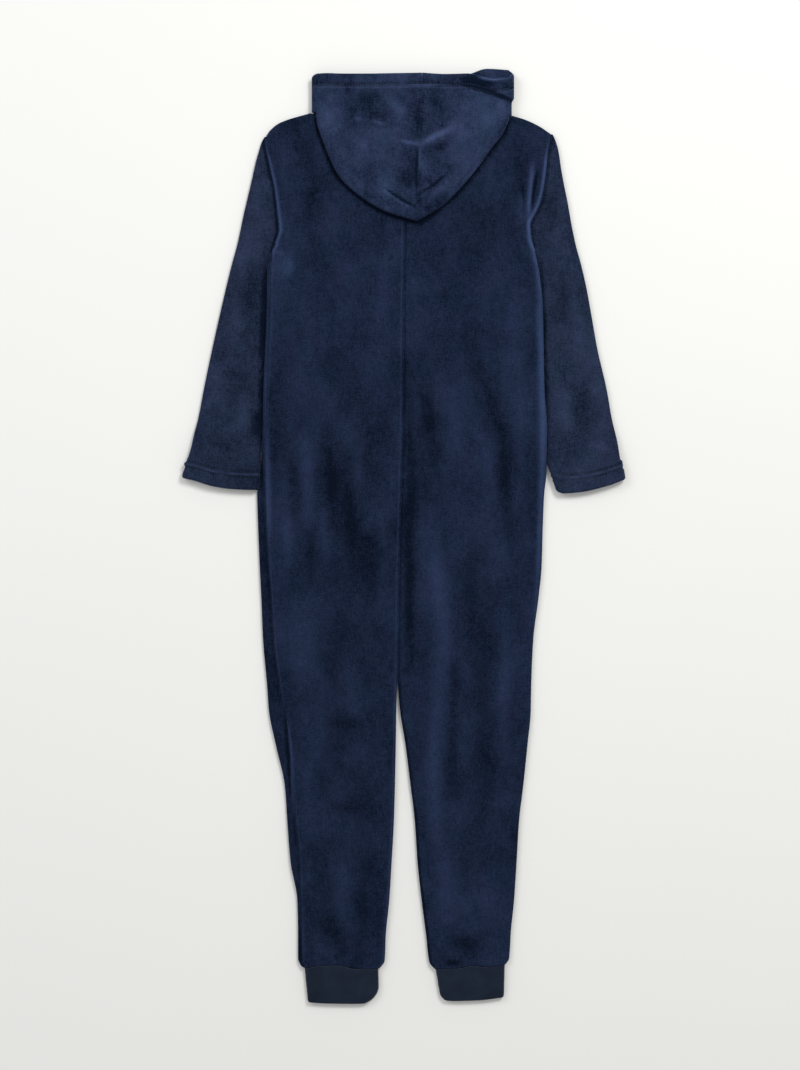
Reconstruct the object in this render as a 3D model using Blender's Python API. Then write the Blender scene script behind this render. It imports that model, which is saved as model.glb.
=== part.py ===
"""A child's hooded one-piece pajama in pile fleece, lying flat with its back up.

Metres, +Z up, +Y towards the hood, +X to the right of somebody looking down on it.
The surface it lies on is z = 0, and the origin is the middle of the outline.
Every panel is one sheet of cloth: a grid laid half a wall below the middle of the cloth and
extruded through to half a wall above it. Folds are half circles from one layer to the next,
and pieces that are sewn together end SEAM apart.
"""

import math

import bmesh
import bpy
import numpy as np

MM = 0.001

# Cloth and the way it is stacked
FLEECE = 2.5 * MM
RIB = 1.5 * MM
AIR = 1.0 * MM  # between two layers that lie on each other
SEAM = 0.3 * MM  # between two pieces at a seam
LAYER = FLEECE + AIR  # from the middle of one layer to the middle of the next
LOW = FLEECE / 2  # middle of the layer that lies on the surface
HALF_TURN = math.pi
QUARTER_TURN = math.pi / 2 - SEAM / LAYER  # stops half a seam short of the middle height
EDGE = FLEECE / 2 + LAYER / 2  # from the outline to the start of a fold

# Places along the garment
ARMPIT = 350 * MM
CROTCH = -180 * MM
ZIP_END = -59 * MM
ZIP_TOP = 470 * MM
ZIP_HALF = 4.0 * MM  # half of the gap between the front panels, along the zip
CHAIN = 1.2 * MM
CHAIN_LEVEL = 1.8 * MM
WRAP_UNDER = 8 * MM  # how far the right back panel runs on beneath
ARMPIT_NOTCH = 2 * MM  # room for the neighbour that turns at the armpit
TUCK_LIFT = 7.4 * MM  # how far the body's sides lie above the surface, on the sleeves
TUCK_MARGIN = 22 * MM  # how far past the sleeve the body stays that high
TUCK_SLOPE = 30 * MM  # width over which it then comes down
TUCK_ENDS = (66 * MM, 106 * MM, 328 * MM, 350 * MM)  # it rises between the first two
SWELL_MARGIN = 25 * MM  # from a side edge to the full height of a swell
LEG_MARGIN = 20 * MM  # how far above the crotch the leg's inner edges already count
HEM_STEP = FLEECE + 0.8 * MM  # from a hem's outer layer to its turned layer
SLEEVE_HEM = 21 * MM
RIM_HEM = 16 * MM
HEM_MARGIN = 6 * MM  # from the hem's inner end to the next row of the outer layer
HEM_HEIGHT = 9.6 * MM  # between the outer layers of a sleeve at its hem
HEM_RISE = (118 * MM, 88 * MM)  # where a sleeve starts to thicken, and where it has
HOOD_TOP = LOW + 3 * LAYER
FLAT_END = 12 * MM  # end of the hood's single layer, where its neighbour folds
RIB_END = 44 * MM  # depth of the ankle cuffs
CUFF_GAP = 0.4 * MM  # between the two layers of a cuff's wall
CUFF_HEIGHT = 4 * RIB + 2 * CUFF_GAP + 0.6 * MM

# Columns of each panel, as fractions of its width between the ends of its run
RUN_MARGIN = 8 * MM
PANEL_COLUMNS = (0.24, 0.48, 0.62, 0.7, 0.85)
STATIONS = [
    y * MM
    for y in (350, 328, 270, 200, 129, 112, 72, 40, -20, -59, -66, -123, -168)
    + (-180, -208, -250, -320, -390, -435, -508, -515)
]
ARM_STATIONS = [y * MM for y in (430, 392, 368)]  # along the armhole, above the armpit


def table(columns, *rows):
    """The named columns of a short table, in metres, from rows in millimetres."""
    return dict(zip(columns.split(), np.array(rows, float).T * MM))


# Outline of the body from the armpits to the ankles, and the left side seam
BODY = table(
    "y left left_seam right",
    (350, -156, -152, 156),
    (314, -163, -159, 163),
    (276, -163, -159, 167),
    (225, -165, -161, 168),
    (177, -167, -163, 169),
    (129, -168, -164, 172),
    (81, -171, -166, 172),
    (50, -174, -165, 168),
    (15, -173, -164, 165),
    (-75, -169, -158, 161),
    (-123, -167, -155, 156),
    (-180, -162, -148, 153),
    (-208, -160, -144, 151),
    (-250, -152, -136, 148),
    (-298, -142, -132, 144),
    (-340, -139, -129, 139),
    (-390, -135, -124, 136),
    (-435, -127, -123, 133),
    (-475, -126, -122, 129),
    (-508, -126, -121, 127),
    (-515, -119, -114, 122),
)
CENTRE = table("y x", (498, 2), (350, 1), (276, 0), (129, -1), (50, -3), (-75, -6), (-180, -7))
INSEAM = table(
    "y left right",
    (-180, -7.1, -6.6),
    (-208, -9, -2),
    (-250, -11, 6),
    (-298, -12, 12),
    (-340, -13, 17),
    (-390, -16, 20),
    (-435, -18, 25),
    (-475, -22, 30),
    (-508, -23, 33),
    (-515, -29, 39),
)
# Shoulder seams from the neck to the arm, and the neck seams from left to right
SHOULDER = {
    -1: table("x y", (-168, 471), (-163, 480), (-145, 495), (-110.5, 508.5)),
    1: table("x y", (129.5, 504), (153, 497), (171, 485), (178, 477)),
}
BACK_NECK = table("x y", (-110.5, 508.5), (2, 498), (129.5, 504))
FRONT_NECK = table("x y", (-110.5, 508.5), (2, 484), (129.5, 504))
# Sleeves: the outer fold, and inside it the armhole seam down to the armpit and the
# underarm fold below it, which is tucked under the body
SLEEVE = {
    -1: table(
        "y outer inner",
        (471, -170, -168),
        (430, -181, -156.5),
        (392, -189.5, -151),
        (368, -195, -150),
        (350, -199, -156),
        (328, -205, -164.2),
        (300, -212, -150),
        (270, -219, -130),
        (225, -229, -124),
        (177, -239, -138),
        (140, -246, -156),
        (118, -251, -171),
        (90, -262, -173),
        (60, -265, -177),
    ),
    1: table(
        "y outer inner",
        (477, 180, 178),
        (430, 191, 171),
        (392, 199, 159.5),
        (368, 203, 151.5),
        (350, 207, 156),
        (328, 213, 164),
        (300, 219.5, 152),
        (270, 225, 134),
        (225, 233, 128),
        (177, 244, 141),
        (140, 252, 158),
        (118, 256.4, 173.8),
        (90, 263, 175.5),
        (60, 265.2, 184),
    ),
}
SLEEVE_STATIONS = ARM_STATIONS + [y * MM for y in (350, 328, 300, 270, 225, 177, 140, 118)]
SLEEVE_TIP = {-1: 463 * MM, 1: 468 * MM}
# Lower edge of each sleeve, which isn't straight across
HEM_LINE = {
    -1: table("x y", (-265, 71), (-255, 66), (-226, 60), (-200, 57.5), (-177, 56.5)),
    1: table("x y", (184, 55), (199, 53), (234, 60), (265, 70)),
}
HEM_MIDDLE = 60 * MM
# Hood: lines from the rim over the top layer to the lower outline, and the places on the
# neck seam where the under layer ends
HOOD = {
    -1: table(
        "rim_x rim_y tip_x tip_y neck_x",
        (22.35, 555, 16.35, 378, 1.85),
        (-12, 555, -22, 390, -25),
        (-45, 554.5, -53, 409, -52),
        (-72, 554, -76, 431, -76),
        (-90, 553.5, -92, 463, -93),
        (-103, 551, -103, 494, -104),
    ),
    1: table(
        "rim_x rim_y tip_x tip_y neck_x",
        (22.65, 555, 16.65, 378, 2.15),
        (50, 555, 45, 395, 30),
        (77, 554, 75, 425, 60),
        (99, 550.5, 98, 454, 88),
        (114, 552, 113, 476, 108),
        (123.5, 554, 123.5, 494, 122.5),
    ),
}
# Hood: the part in front of the neck, on the surface, from the side to the centre front
HOOD_FRONT = {
    -1: table("rim_x rim_y neck_x", (-103, 549, -103), (-75, 541, -77), (-40, 531, -40), (-3, 524, -2.5)),
    1: table("rim_x rim_y neck_x", (123.5, 558, 123.5), (99, 559, 98), (50, 540, 50), (8, 524, 7)),
}
WRAP_SIDE = {-1: -109.5 * MM, 1: 130 * MM}  # outline of the hood beside the neck
# Broad swells of the back: soft ridges from one end to the other
SWELLS = table(
    "x0 y0 x1 y1 width height",
    (80, 60, 60, -430, 42, 2.5),
    (-95, 130, -80, -420, 40, 2.0),
    (70, 300, 85, 160, 45, 1.5),
)


def at(rows, column, y):
    """A column's value at y, between the rows of a table that runs down the garment."""
    return np.interp(y, rows["y"][::-1], rows[column][::-1])


def ease(value):
    """0 to 1 with soft ends, for a value that runs past both."""
    value = np.clip(value, 0, 1)
    return value * value * (3 - 2 * value)


def tuck(side, y):
    """How far the sleeve reaches in under the body's side."""
    edge = at(BODY, "left" if side < 0 else "right", y)
    return np.maximum(0, side * (edge - at(SLEEVE[side], "inner", y)))


def lift(x, y):
    """How far the body lies above the surface, because its sides lie on the sleeves."""
    height = np.zeros_like(x)
    along = np.interp(y, TUCK_ENDS, [0, 1, 1, 0])
    for side, column in ((-1, "left"), (1, "right")):
        inwards = side * (at(BODY, column, y) - x)
        reach = tuck(side, y) + TUCK_MARGIN
        height = height + TUCK_LIFT * along * (1 - ease((inwards - reach) / TUCK_SLOPE))
    return height


def swell(x, y):
    """Height of the broad swells of the upper layer."""
    height = np.zeros_like(x)
    for x0, y0, x1, y1, width, top in zip(*SWELLS.values()):
        length = (x1 - x0) ** 2 + (y1 - y0) ** 2
        along = ((x - x0) * (x1 - x0) + (y - y0) * (y1 - y0)) / length
        near = np.clip(along, 0, 1)
        distance = np.hypot(x - x0 - near * (x1 - x0), y - y0 - near * (y1 - y0))
        height = height + top * np.exp(-((distance / width) ** 2))
    return height


def front_height(x, y):
    return LOW + lift(x, y)


def back_height(x, y):
    inside = side_distance(x, y)
    return front_height(x, y) + LAYER + swell(x, y) * ease(inside / SWELL_MARGIN)


def side_distance(x, y):
    """Distance from the nearest side edge, or nothing above the armpits."""
    edges = [at(BODY, "left", y), at(BODY, "right", y)]
    legs = y < CROTCH + LEG_MARGIN
    inner = np.where(legs, np.minimum(abs(x - at(INSEAM, "left", y)), abs(x - at(INSEAM, "right", y))), 1)
    nearest = np.minimum(np.minimum(x - edges[0], edges[1] - x), inner)
    return np.where(y > ARMPIT, 0, nearest)


def turned(edge, outward, turn, rise, steps):
    """Points (x, change of height, lean) of a fold, from the start of its turn to its end.

    The outline is at edge, rise is the height from this layer to the next, and the lean
    turns from 0, where the cloth is level, to pi, where it has come right round.
    """
    radius = abs(rise) / 2
    lean = np.linspace(0, turn, steps + 1)
    x = edge - outward * (FLEECE / 2 + radius) + outward * radius * np.sin(lean)
    return x, rise / 2 * (1 - np.cos(lean)), lean


def unturned(edge, outward, turn, rise, steps):
    """The same points laid flat, ending at the edge."""
    length = abs(rise) / 2 * turn
    x = edge - outward * length * np.linspace(1, 0, steps + 1)
    return x, np.zeros(steps + 1), np.zeros(steps + 1)


def sheet(name, rows, wall, material):
    """One piece of cloth from rows of (point, outward direction) pairs along its middle."""
    points, outward = np.swapaxes(np.array(rows), 0, 1)
    below = (points - outward * wall / 2).reshape(-1, 3)
    above = (points + outward * wall / 2).reshape(-1, 3)
    mesh = bmesh.new()
    segments = {"x_segments": points.shape[1] - 1, "y_segments": points.shape[0] - 1}
    bmesh.ops.create_grid(mesh, size=1, **segments)
    place = mesh.verts.layers.int.new("place")
    for index, vertex in enumerate(mesh.verts):
        vertex[place] = index
        vertex.co = below[index]
    extruded = bmesh.ops.extrude_face_region(mesh, geom=list(mesh.faces))
    for vertex in extruded["geom"]:
        if isinstance(vertex, bmesh.types.BMVert):
            vertex.co = above[vertex[place]]
    bmesh.ops.recalc_face_normals(mesh, faces=list(mesh.faces))
    data = bpy.data.meshes.new(name)
    mesh.to_mesh(data)
    mesh.free()
    data.materials.append(material)
    data.set_sharp_from_angle(angle=math.radians(50))
    data.shade_smooth()
    collection.objects.link(bpy.data.objects.new(name, data))


def finish(name, colour, roughness, metallic=0.0):
    material = bpy.data.materials.new(name)
    material.use_nodes = True
    shader = material.node_tree.nodes["Principled BSDF"]
    shader.inputs["Base Color"].default_value = (*colour, 1)
    shader.inputs["Roughness"].default_value = roughness
    shader.inputs["Metallic"].default_value = metallic
    return material


# Body panels


def panel_section(side, layer, y):
    """One level section of a body panel, from the centre outwards: x, height change, lean.

    The left front panel comes round the left edge up to the side seam, and the right back
    panel goes round the right edge and on beneath. They start to turn at the armpit.
    """
    rise = LAYER if layer == "front" else -LAYER
    if y <= CROTCH:
        start = at(INSEAM, "left" if side < 0 else "right", y)
        inner = turned(start, -side, QUARTER_TURN, rise, 2)
    else:
        half_gap = ZIP_HALF if layer == "front" and y >= ZIP_END else SEAM / 2
        start = at(CENTRE, "x", y) + side * half_gap
        inner = unturned(start, -side, QUARTER_TURN, rise, 2)
    edge = at(BODY, "left" if side < 0 else "right", y)
    armhole = at(SLEEVE[side], "inner", y) - side * SEAM / 2
    left_seam = at(BODY, "left_seam", y)
    if (side < 0) != (layer == "front"):
        if y > ARMPIT:
            end = armhole
        elif y == ARMPIT:
            end = edge - side * ARMPIT_NOTCH
        else:
            end = left_seam + SEAM / 2 if side < 0 else edge - EDGE - WRAP_UNDER - SEAM
        outer = np.array([end]), np.zeros(1), np.zeros(1)
    elif y > ARMPIT:
        outer = armhole - side * np.linspace(RUN_MARGIN, 0, 6), np.zeros(6), np.zeros(6)
    elif y == ARMPIT:
        outer = turned(edge, side, QUARTER_TURN, rise, 5)
    else:
        arc = turned(edge, side, HALF_TURN, rise, 4)
        last = left_seam - SEAM / 2 if side < 0 else edge - EDGE - WRAP_UNDER
        outer = [np.append(part, end) for part, end in zip(arc, (last, rise, HALF_TURN))]
    first = at(CENTRE, "x", y) if y > CROTCH else start
    run_start = first + side * RUN_MARGIN
    run_end = armhole - side * RUN_MARGIN if y > ARMPIT else edge - side * EDGE
    run = run_start + (run_end - run_start) * np.array(PANEL_COLUMNS)
    x, z, lean = (
        np.concatenate([start_part[::-1], middle, end_part])
        for start_part, middle, end_part in zip(inner, (run, 0 * run, 0 * run), outer)
    )
    across = np.concatenate([np.full(3, -side), np.zeros(len(run)), np.full(len(outer[0]), side)])
    return x, z, lean, across


def panel_rows(side, layer):
    """Rows of a body panel: the top seam's turn, down to the armpit, then the stations."""
    up = -1 if layer == "front" else 1
    height = front_height if layer == "front" else back_height
    base_x = panel_section(side, layer, ARMPIT + MM)[0]
    share = (base_x - base_x[0]) / (base_x[-1] - base_x[0])
    tip_y = SHOULDER[side]["y"].min()
    tip_x = at(SLEEVE[side], "inner", tip_y - EDGE)
    neck = FRONT_NECK if layer == "front" else BACK_NECK
    centre_x = 2 * MM + side * (ZIP_HALF if layer == "front" else SEAM / 2)
    top_x = centre_x + (tip_x - side * SEAM - centre_x) * share
    on_neck = (neck["x"][0] < top_x) & (top_x < neck["x"][-1])
    line = np.where(
        on_neck,
        np.interp(top_x, neck["x"], neck["y"]),
        np.interp(top_x, SHOULDER[side]["x"], SHOULDER[side]["y"]),
    )
    flat = on_neck & (layer == "front")
    curl = np.where(on_neck & (layer == "back"), -up, up)  # which way the edge turns in y
    rows = []
    for turn in (QUARTER_TURN, QUARTER_TURN / 2, 0):
        y = line - EDGE + LAYER / 2 * math.sin(turn)
        y = np.where(flat, line - SEAM - (QUARTER_TURN - turn) * LAYER / 2, y)
        away = np.where(on_neck & (layer == "back"), -1, 1) * math.sin(turn)
        away = np.where(flat, 0, away)
        change = np.where(flat, 0, -curl * LAYER / 2 * (1 - math.cos(turn)))
        steep = np.where(flat, 1, math.cos(turn))
        points = np.stack([top_x, y, height(top_x, y) + change], axis=1)
        rows.append((points, np.stack([0 * y, away, up * steep], axis=1)))
    level = rows[-1][0]
    upright = np.tile([0.0, 0.0, up], (len(top_x), 1))
    for station in ARM_STATIONS:
        fall = (tip_y - station) / (tip_y - ARMPIT)
        y = level[:, 1] + (ARMPIT - level[:, 1]) * fall
        y[share == 1] = station
        outer = at(SLEEVE[side], "inner", station) - side * SEAM / 2
        x = (top_x[0] * (1 - fall) + base_x[0] * fall) * (1 - share) + outer * share
        rows.append((np.stack([x, y, height(x, y)], axis=1), upright))
    for station in STATIONS:
        x, z, lean, across = panel_section(side, layer, station)
        y = np.full_like(x, station)
        run = np.clip(x, *sorted((x[2], x[len(PANEL_COLUMNS) + 3])))
        points = np.stack([x, y, height(run, y) + z], axis=1)
        rows.append((points, np.stack([across * np.sin(lean), 0 * y, up * np.cos(lean)], axis=1)))
    return rows


# Sleeves


def sleeve_section(side, y, inset, turn=0.0):
    """One section of a sleeve, from the back seam round the outer fold to the front seam.

    inset is how far inside the outer layer it lies, and turn how far round the hem's fold.
    """
    reach = LAYER + (HEM_HEIGHT - LAYER) * ease((HEM_RISE[0] - y) / (HEM_RISE[0] - HEM_RISE[1]))
    low = LOW + inset
    high = LOW + reach - inset
    outer_x = at(SLEEVE[side], "outer", y) - side * inset
    inner_x = at(SLEEVE[side], "inner", y) + side * inset
    if y < ARMPIT:
        quarter = math.pi / 2 - SEAM / (high - low)
        end_x, end_z, end_lean = turned(inner_x, -side, quarter, high - low, 2)
    else:
        margin = min(RUN_MARGIN, abs(outer_x - inner_x)) / 4
        end_x = inner_x + side * (SEAM / 2 + np.linspace(margin, 0, 3))
        end_z = end_lean = np.zeros(3)
    fold_x, fold_z, fold_lean = turned(outer_x, side, HALF_TURN, high - low, 4)
    run = end_x[0] + (fold_x[0] - end_x[0]) * np.array([0.35, 0.7])
    x = np.concatenate([end_x[::-1], run, fold_x, run[::-1], end_x])
    z = np.concatenate([high - end_z[::-1], high + 0 * run, high - fold_z, low + 0 * run, low + end_z])
    lean = np.concatenate([-end_lean[::-1], 0 * run, fold_lean, HALF_TURN + 0 * run, HALF_TURN + end_lean])
    slant = np.interp(y, [HEM_RISE[1], HEM_RISE[0]], [1, 0])
    rise = np.interp(x, HEM_LINE[side]["x"], HEM_LINE[side]["y"]) - HEM_MIDDLE
    down = np.full_like(x, -math.sin(turn))
    facing = np.stack([side * np.sin(lean), 0 * x, np.cos(lean)], axis=1) * math.cos(turn)
    facing[:, 1] = down
    return np.stack([x, y + slant * rise, z], axis=1), facing


def sleeve_rows(side):
    rows = [sleeve_section(side, y, 0) for y in [SLEEVE_TIP[side]] + SLEEVE_STATIONS]
    rows.append(sleeve_section(side, HEM_MIDDLE + SLEEVE_HEM + HEM_MARGIN, 0))
    radius = HEM_STEP / 2
    start = HEM_MIDDLE + FLEECE / 2 + radius
    for turn in np.linspace(0, HALF_TURN, 4):
        inset = radius * (1 - math.cos(turn))
        rows.append(sleeve_section(side, start - radius * math.sin(turn), inset, turn))
    rows.append(sleeve_section(side, HEM_MIDDLE + SLEEVE_HEM, HEM_STEP, HALF_TURN))
    return rows


# Hood


def hood_column(rim, foot, height, inward, tip=None):
    """One line of a hood half: the turned rim hem, the layer, and what is below it.

    inward is the (x, z) direction to the inside. With a tip the line folds there and
    comes back beneath to its foot on the neck seam. Without one it ends at its foot.
    """
    end = foot if tip is None else tip
    length = math.dist(rim, end)
    ahead = np.array([*(np.array(end) - rim) / length, 0])
    inside = np.array([inward[0], 0, inward[1]])
    origin = np.array([*rim, height])
    radius = HEM_STEP / 2
    start = FLEECE / 2 + radius
    line = [(origin + ahead * RIM_HEM + inside * HEM_STEP, inside)]
    for turn in np.linspace(HALF_TURN, 0, 4):
        middle = origin + ahead * start + inside * radius
        facing = -ahead * math.sin(turn) - inside * math.cos(turn)
        line.append((middle + facing * radius, facing))
    last = length - EDGE if tip is not None else length - FLAT_END
    line += [(origin + ahead * (start + (last - start) * share), -inside) for share in (0.3, 0.65, 1)]
    if tip is None:
        for share in np.linspace(0, 1, 10)[1:]:
            line.append((origin + ahead * (last + FLAT_END * share), -inside))
        return [np.array(part) for part in zip(*line)]
    under = origin + ahead * last - [0, 0, LAYER]
    for turn in np.linspace(0, HALF_TURN, 5)[1:]:
        facing = ahead * math.sin(turn) + [0, 0, math.cos(turn)]
        line.append((under + [0, 0, LAYER / 2] + facing * LAYER / 2, facing))
    back = np.array([*foot, under[2]]) - under
    span = np.linalg.norm(back) - EDGE
    back /= span + EDGE
    line += [(under + back * span * share, np.array([0, 0, -1.0])) for share in (0.35, 0.7, 1)]
    for turn in (QUARTER_TURN / 2, QUARTER_TURN):
        facing = -back * math.sin(turn) - [0, 0, math.cos(turn)]
        line.append((under + back * span - [0, 0, LAYER / 2] - facing * LAYER / 2, facing))
    return [np.array(part) for part in zip(*line)]


def hood_columns(side):
    """Columns of a hood half: over the top, round the neck's side, and to the centre front."""
    columns = []
    for rim_x, rim_y, tip_x, tip_y, neck_x in zip(*HOOD[side].values()):
        foot = (neck_x, np.interp(neck_x, BACK_NECK["x"], BACK_NECK["y"]))
        columns.append(hood_column((rim_x, rim_y), foot, HOOD_TOP, (0, -1), (tip_x, tip_y)))
    radius = (HOOD_TOP - LOW) / 2
    centre_x = WRAP_SIDE[side] - side * (FLEECE / 2 + radius)
    first, last = HOOD[side]["rim_y"][-1], HOOD_FRONT[side]["rim_y"][0]
    neck_y = np.interp(WRAP_SIDE[side], FRONT_NECK["x"], FRONT_NECK["y"]) + 2 * SEAM
    for share in (0.25, 0.5, 0.75):
        angle = math.pi * share
        out = math.sin(angle)
        x = centre_x + side * radius * out
        height = LOW + radius * (1 + math.cos(angle))
        rim = (x, first + (last - first) * share)
        columns.append(hood_column(rim, (x, neck_y), height, (-side * out, -math.cos(angle))))
    for rim_x, rim_y, neck_x in zip(*HOOD_FRONT[side].values()):
        foot = (neck_x, np.interp(neck_x, FRONT_NECK["x"], FRONT_NECK["y"]) + SEAM)
        columns.append(hood_column((rim_x, rim_y), foot, LOW, (0, 1)))
    return columns


# Ankle cuffs: a tube of rib folded at the bottom, rolled from one piece


def cuff_section(left, right, y, inset, turn):
    """One section of a cuff, from the inner side over the top and round beneath."""
    low = RIB / 2 + inset
    high = CUFF_HEIGHT - low
    radius = (high - low) / 2
    quarter = math.pi / 2 - SEAM / (high - low)
    edge = RIB / 2 + inset + radius
    lean = np.concatenate(
        [np.linspace(quarter, 0, 3), [0], -np.linspace(0, HALF_TURN, 5)]
        + [[-HALF_TURN], -HALF_TURN - np.linspace(0, quarter, 3)]
    )
    middle = (left + right) / 2
    centre = np.concatenate([np.full(3, right - edge), [middle], np.full(5, left + edge)])
    centre = np.append(centre, [middle, right - edge, right - edge, right - edge])
    facing = np.stack([np.sin(lean), 0 * lean, np.cos(lean)], axis=1)
    points = np.stack([centre, np.full_like(centre, y), np.full_like(centre, low + radius)], axis=1)
    points += facing * radius
    facing *= math.cos(turn)
    facing[:, 1] = -math.sin(turn)
    return points, facing


def cuff_rows(left, right, left_slope, right_slope, top):
    """Down the outside, round the folded edge and up inside."""
    radius = (RIB + CUFF_GAP) / 2
    start = top - RIB_END + RIB / 2 + radius
    path = [(top, 0, 0), (top - RIB_END / 2, 0, 0)]
    for turn in np.linspace(0, HALF_TURN, 4):
        path.append((start - radius * math.sin(turn), radius * (1 - math.cos(turn)), turn))
    path.append((top, 2 * radius, HALF_TURN))
    rows = []
    for y, inset, turn in path:
        down = (top - y) / RIB_END
        rows.append(cuff_section(left + left_slope * down, right + right_slope * down, y, inset, turn))
    return rows


def box(name, low, high, bevel, material):
    mesh = bmesh.new()
    bmesh.ops.create_cube(mesh, size=1)
    for vertex in mesh.verts:
        vertex.co = [a + (b - a) * (c + 0.5) for a, b, c in zip(low, high, vertex.co)]
    bmesh.ops.bevel(
        mesh,
        geom=list(mesh.edges),
        offset=bevel,
        affect="EDGES",
        segments=2,
        profile=0.5,
    )
    data = bpy.data.meshes.new(name)
    mesh.to_mesh(data)
    mesh.free()
    data.materials.append(material)
    piece = bpy.data.objects.new(name, data)
    collection.objects.link(piece)
    return piece


for leftover in list(bpy.data.objects):
    bpy.data.objects.remove(leftover, do_unlink=True)
collection = bpy.data.collections.new("onesie_pajama")
bpy.context.scene.collection.children.link(collection)
cutters = bpy.data.collections.new("cutters")
bpy.context.scene.collection.children.link(cutters)

navy_fleece = finish("navy_fleece", (0.020, 0.028, 0.062), 0.9)
navy_rib = finish("navy_rib", (0.018, 0.026, 0.045), 0.85)
navy_zip = finish("navy_zip", (0.012, 0.018, 0.035), 0.45)
slider_metal = finish("slider_metal", (0.35, 0.35, 0.36), 0.35, 1.0)

for side, side_name in ((-1, "left"), (1, "right")):
    for layer in ("back", "front"):
        sheet(f"{layer}_{side_name}", panel_rows(side, layer), FLEECE, navy_fleece)
    sheet(f"sleeve_{side_name}", sleeve_rows(side), FLEECE, navy_fleece)
    sheet(f"hood_{side_name}", hood_columns(side), FLEECE, navy_fleece)

cuff_top = STATIONS[-1] - SEAM
sheet("cuff_left", cuff_rows(-116 * MM, -30 * MM, MM, MM, cuff_top), RIB, navy_rib)
sheet("cuff_right", cuff_rows(40 * MM, 121 * MM, 5 * MM, -MM, cuff_top), RIB, navy_rib)

# The zip: a closed chain, and above it the slider with its pull lying along the chain
chain_rows = []
chain_stations = ARM_STATIONS + [station for station in STATIONS if station > ZIP_END]
for station in [ZIP_TOP - SEAM, *chain_stations, ZIP_END + SEAM]:
    middle = at(CENTRE, "x", station)
    half = ZIP_HALF - SEAM
    points = np.array([(middle + end * half, station, CHAIN_LEVEL) for end in (-1, 1)])
    chain_rows.append((points, np.tile([0.0, 0.0, 1.0], (2, 1))))
sheet("zip_chain", chain_rows, CHAIN, navy_zip)

slider_x = float(at(CENTRE, "x", ZIP_TOP))
slider = box(
    "zip_slider",
    (slider_x - 3.6 * MM, ZIP_TOP, 0.1 * MM),
    (slider_x + 3.6 * MM, ZIP_TOP + 11 * MM, 2.4 * MM),
    0.4 * MM,
    slider_metal,
)
pull = box(
    "slider_pull",
    (slider_x - 2.2 * MM, ZIP_TOP - 20 * MM, 0.15 * MM),
    (slider_x + 2.2 * MM, ZIP_TOP + 4 * MM, 0.85 * MM),
    0.2 * MM,
    slider_metal,
)
collection.objects.unlink(pull)
cutters.objects.link(pull)
pull.hide_render = True
pull.display_type = "WIRE"
join = slider.modifiers.new("Join pull", "BOOLEAN")
join.operation = "UNION"
join.object = pull
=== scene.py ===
# %% [markdown]
# # A child's hooded onesie pajama, lying on its front
#
# The real garment is cut from navy pile fleece: two back panels, two front panels with a zip
# between them, two sleeves, a two-piece hood that is thrown back onto the shoulders, and rib
# cuffs at the ankles. Somebody has laid it on a pale floor with its back up and smoothed it.
# The packed model gives every piece its place, so the first step is to load that frame. Each
# soft piece is then made again as a fine thin shell on the form of its solid.

# %% Load the frame
import functools
import math

import bmesh
import bpy
import numpy as np
from mathutils import Matrix, Vector


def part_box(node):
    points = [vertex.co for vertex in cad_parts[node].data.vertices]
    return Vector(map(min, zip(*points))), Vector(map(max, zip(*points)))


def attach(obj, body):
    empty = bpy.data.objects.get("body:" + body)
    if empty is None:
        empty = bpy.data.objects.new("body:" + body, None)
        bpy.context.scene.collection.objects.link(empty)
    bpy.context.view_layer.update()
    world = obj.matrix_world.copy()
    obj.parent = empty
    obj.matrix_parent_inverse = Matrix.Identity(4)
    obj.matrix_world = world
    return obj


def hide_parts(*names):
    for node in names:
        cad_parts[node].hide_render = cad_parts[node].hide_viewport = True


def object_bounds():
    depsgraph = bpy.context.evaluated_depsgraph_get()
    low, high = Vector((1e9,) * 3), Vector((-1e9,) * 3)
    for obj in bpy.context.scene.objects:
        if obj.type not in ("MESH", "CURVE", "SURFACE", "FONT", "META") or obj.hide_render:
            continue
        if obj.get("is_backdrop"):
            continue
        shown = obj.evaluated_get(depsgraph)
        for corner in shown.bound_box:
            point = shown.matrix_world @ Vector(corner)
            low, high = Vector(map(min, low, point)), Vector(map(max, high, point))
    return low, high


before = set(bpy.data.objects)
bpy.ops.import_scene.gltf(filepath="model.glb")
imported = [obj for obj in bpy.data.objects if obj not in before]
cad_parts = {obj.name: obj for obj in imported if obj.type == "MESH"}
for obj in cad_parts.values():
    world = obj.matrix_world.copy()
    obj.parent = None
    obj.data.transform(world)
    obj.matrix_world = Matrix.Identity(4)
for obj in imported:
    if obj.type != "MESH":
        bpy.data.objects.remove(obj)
cad_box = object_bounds()
print("frame:", len(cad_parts), "nodes, box", [round(side, 4) for side in cad_box[1] - cad_box[0]])

# %% [markdown]
# ## Camera, floor and light
#
# A garment laid flat is looked at from straight above, with a long lens so that its edges
# don't lean. The camera stands on the garment's own middle line, a little towards the hood.
# The floor is a pale sheet of paper. A large soft light stands above the right shoulder and a
# weaker one above the left, and a pale sky fills the shadows, so that a narrow soft shadow
# shows along the lower left edges of everything that lies above the floor.

# %% Camera
MM = 0.001
VIEW_HEIGHT = 1.284  # of floor that the camera sees, along the garment
CAMERA_HEIGHT = 3.0
CAMERA_AT = (-3.8 * MM, 2.6 * MM)

camera_data = bpy.data.cameras.new("camera")
camera_data.lens = camera_data.sensor_width * CAMERA_HEIGHT / VIEW_HEIGHT
camera = bpy.data.objects.new("camera", camera_data)
camera.location = (*CAMERA_AT, CAMERA_HEIGHT)
bpy.context.scene.collection.objects.link(camera)
bpy.context.scene.camera = camera
bpy.context.scene.view_settings.view_transform = "Standard"
print("lens:", round(camera_data.lens, 1), "mm")

# %% Sky and lights
SKY_COLOUR = (1.0, 1.0, 0.985, 1)
SKY_STRENGTH = 0.58

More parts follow.
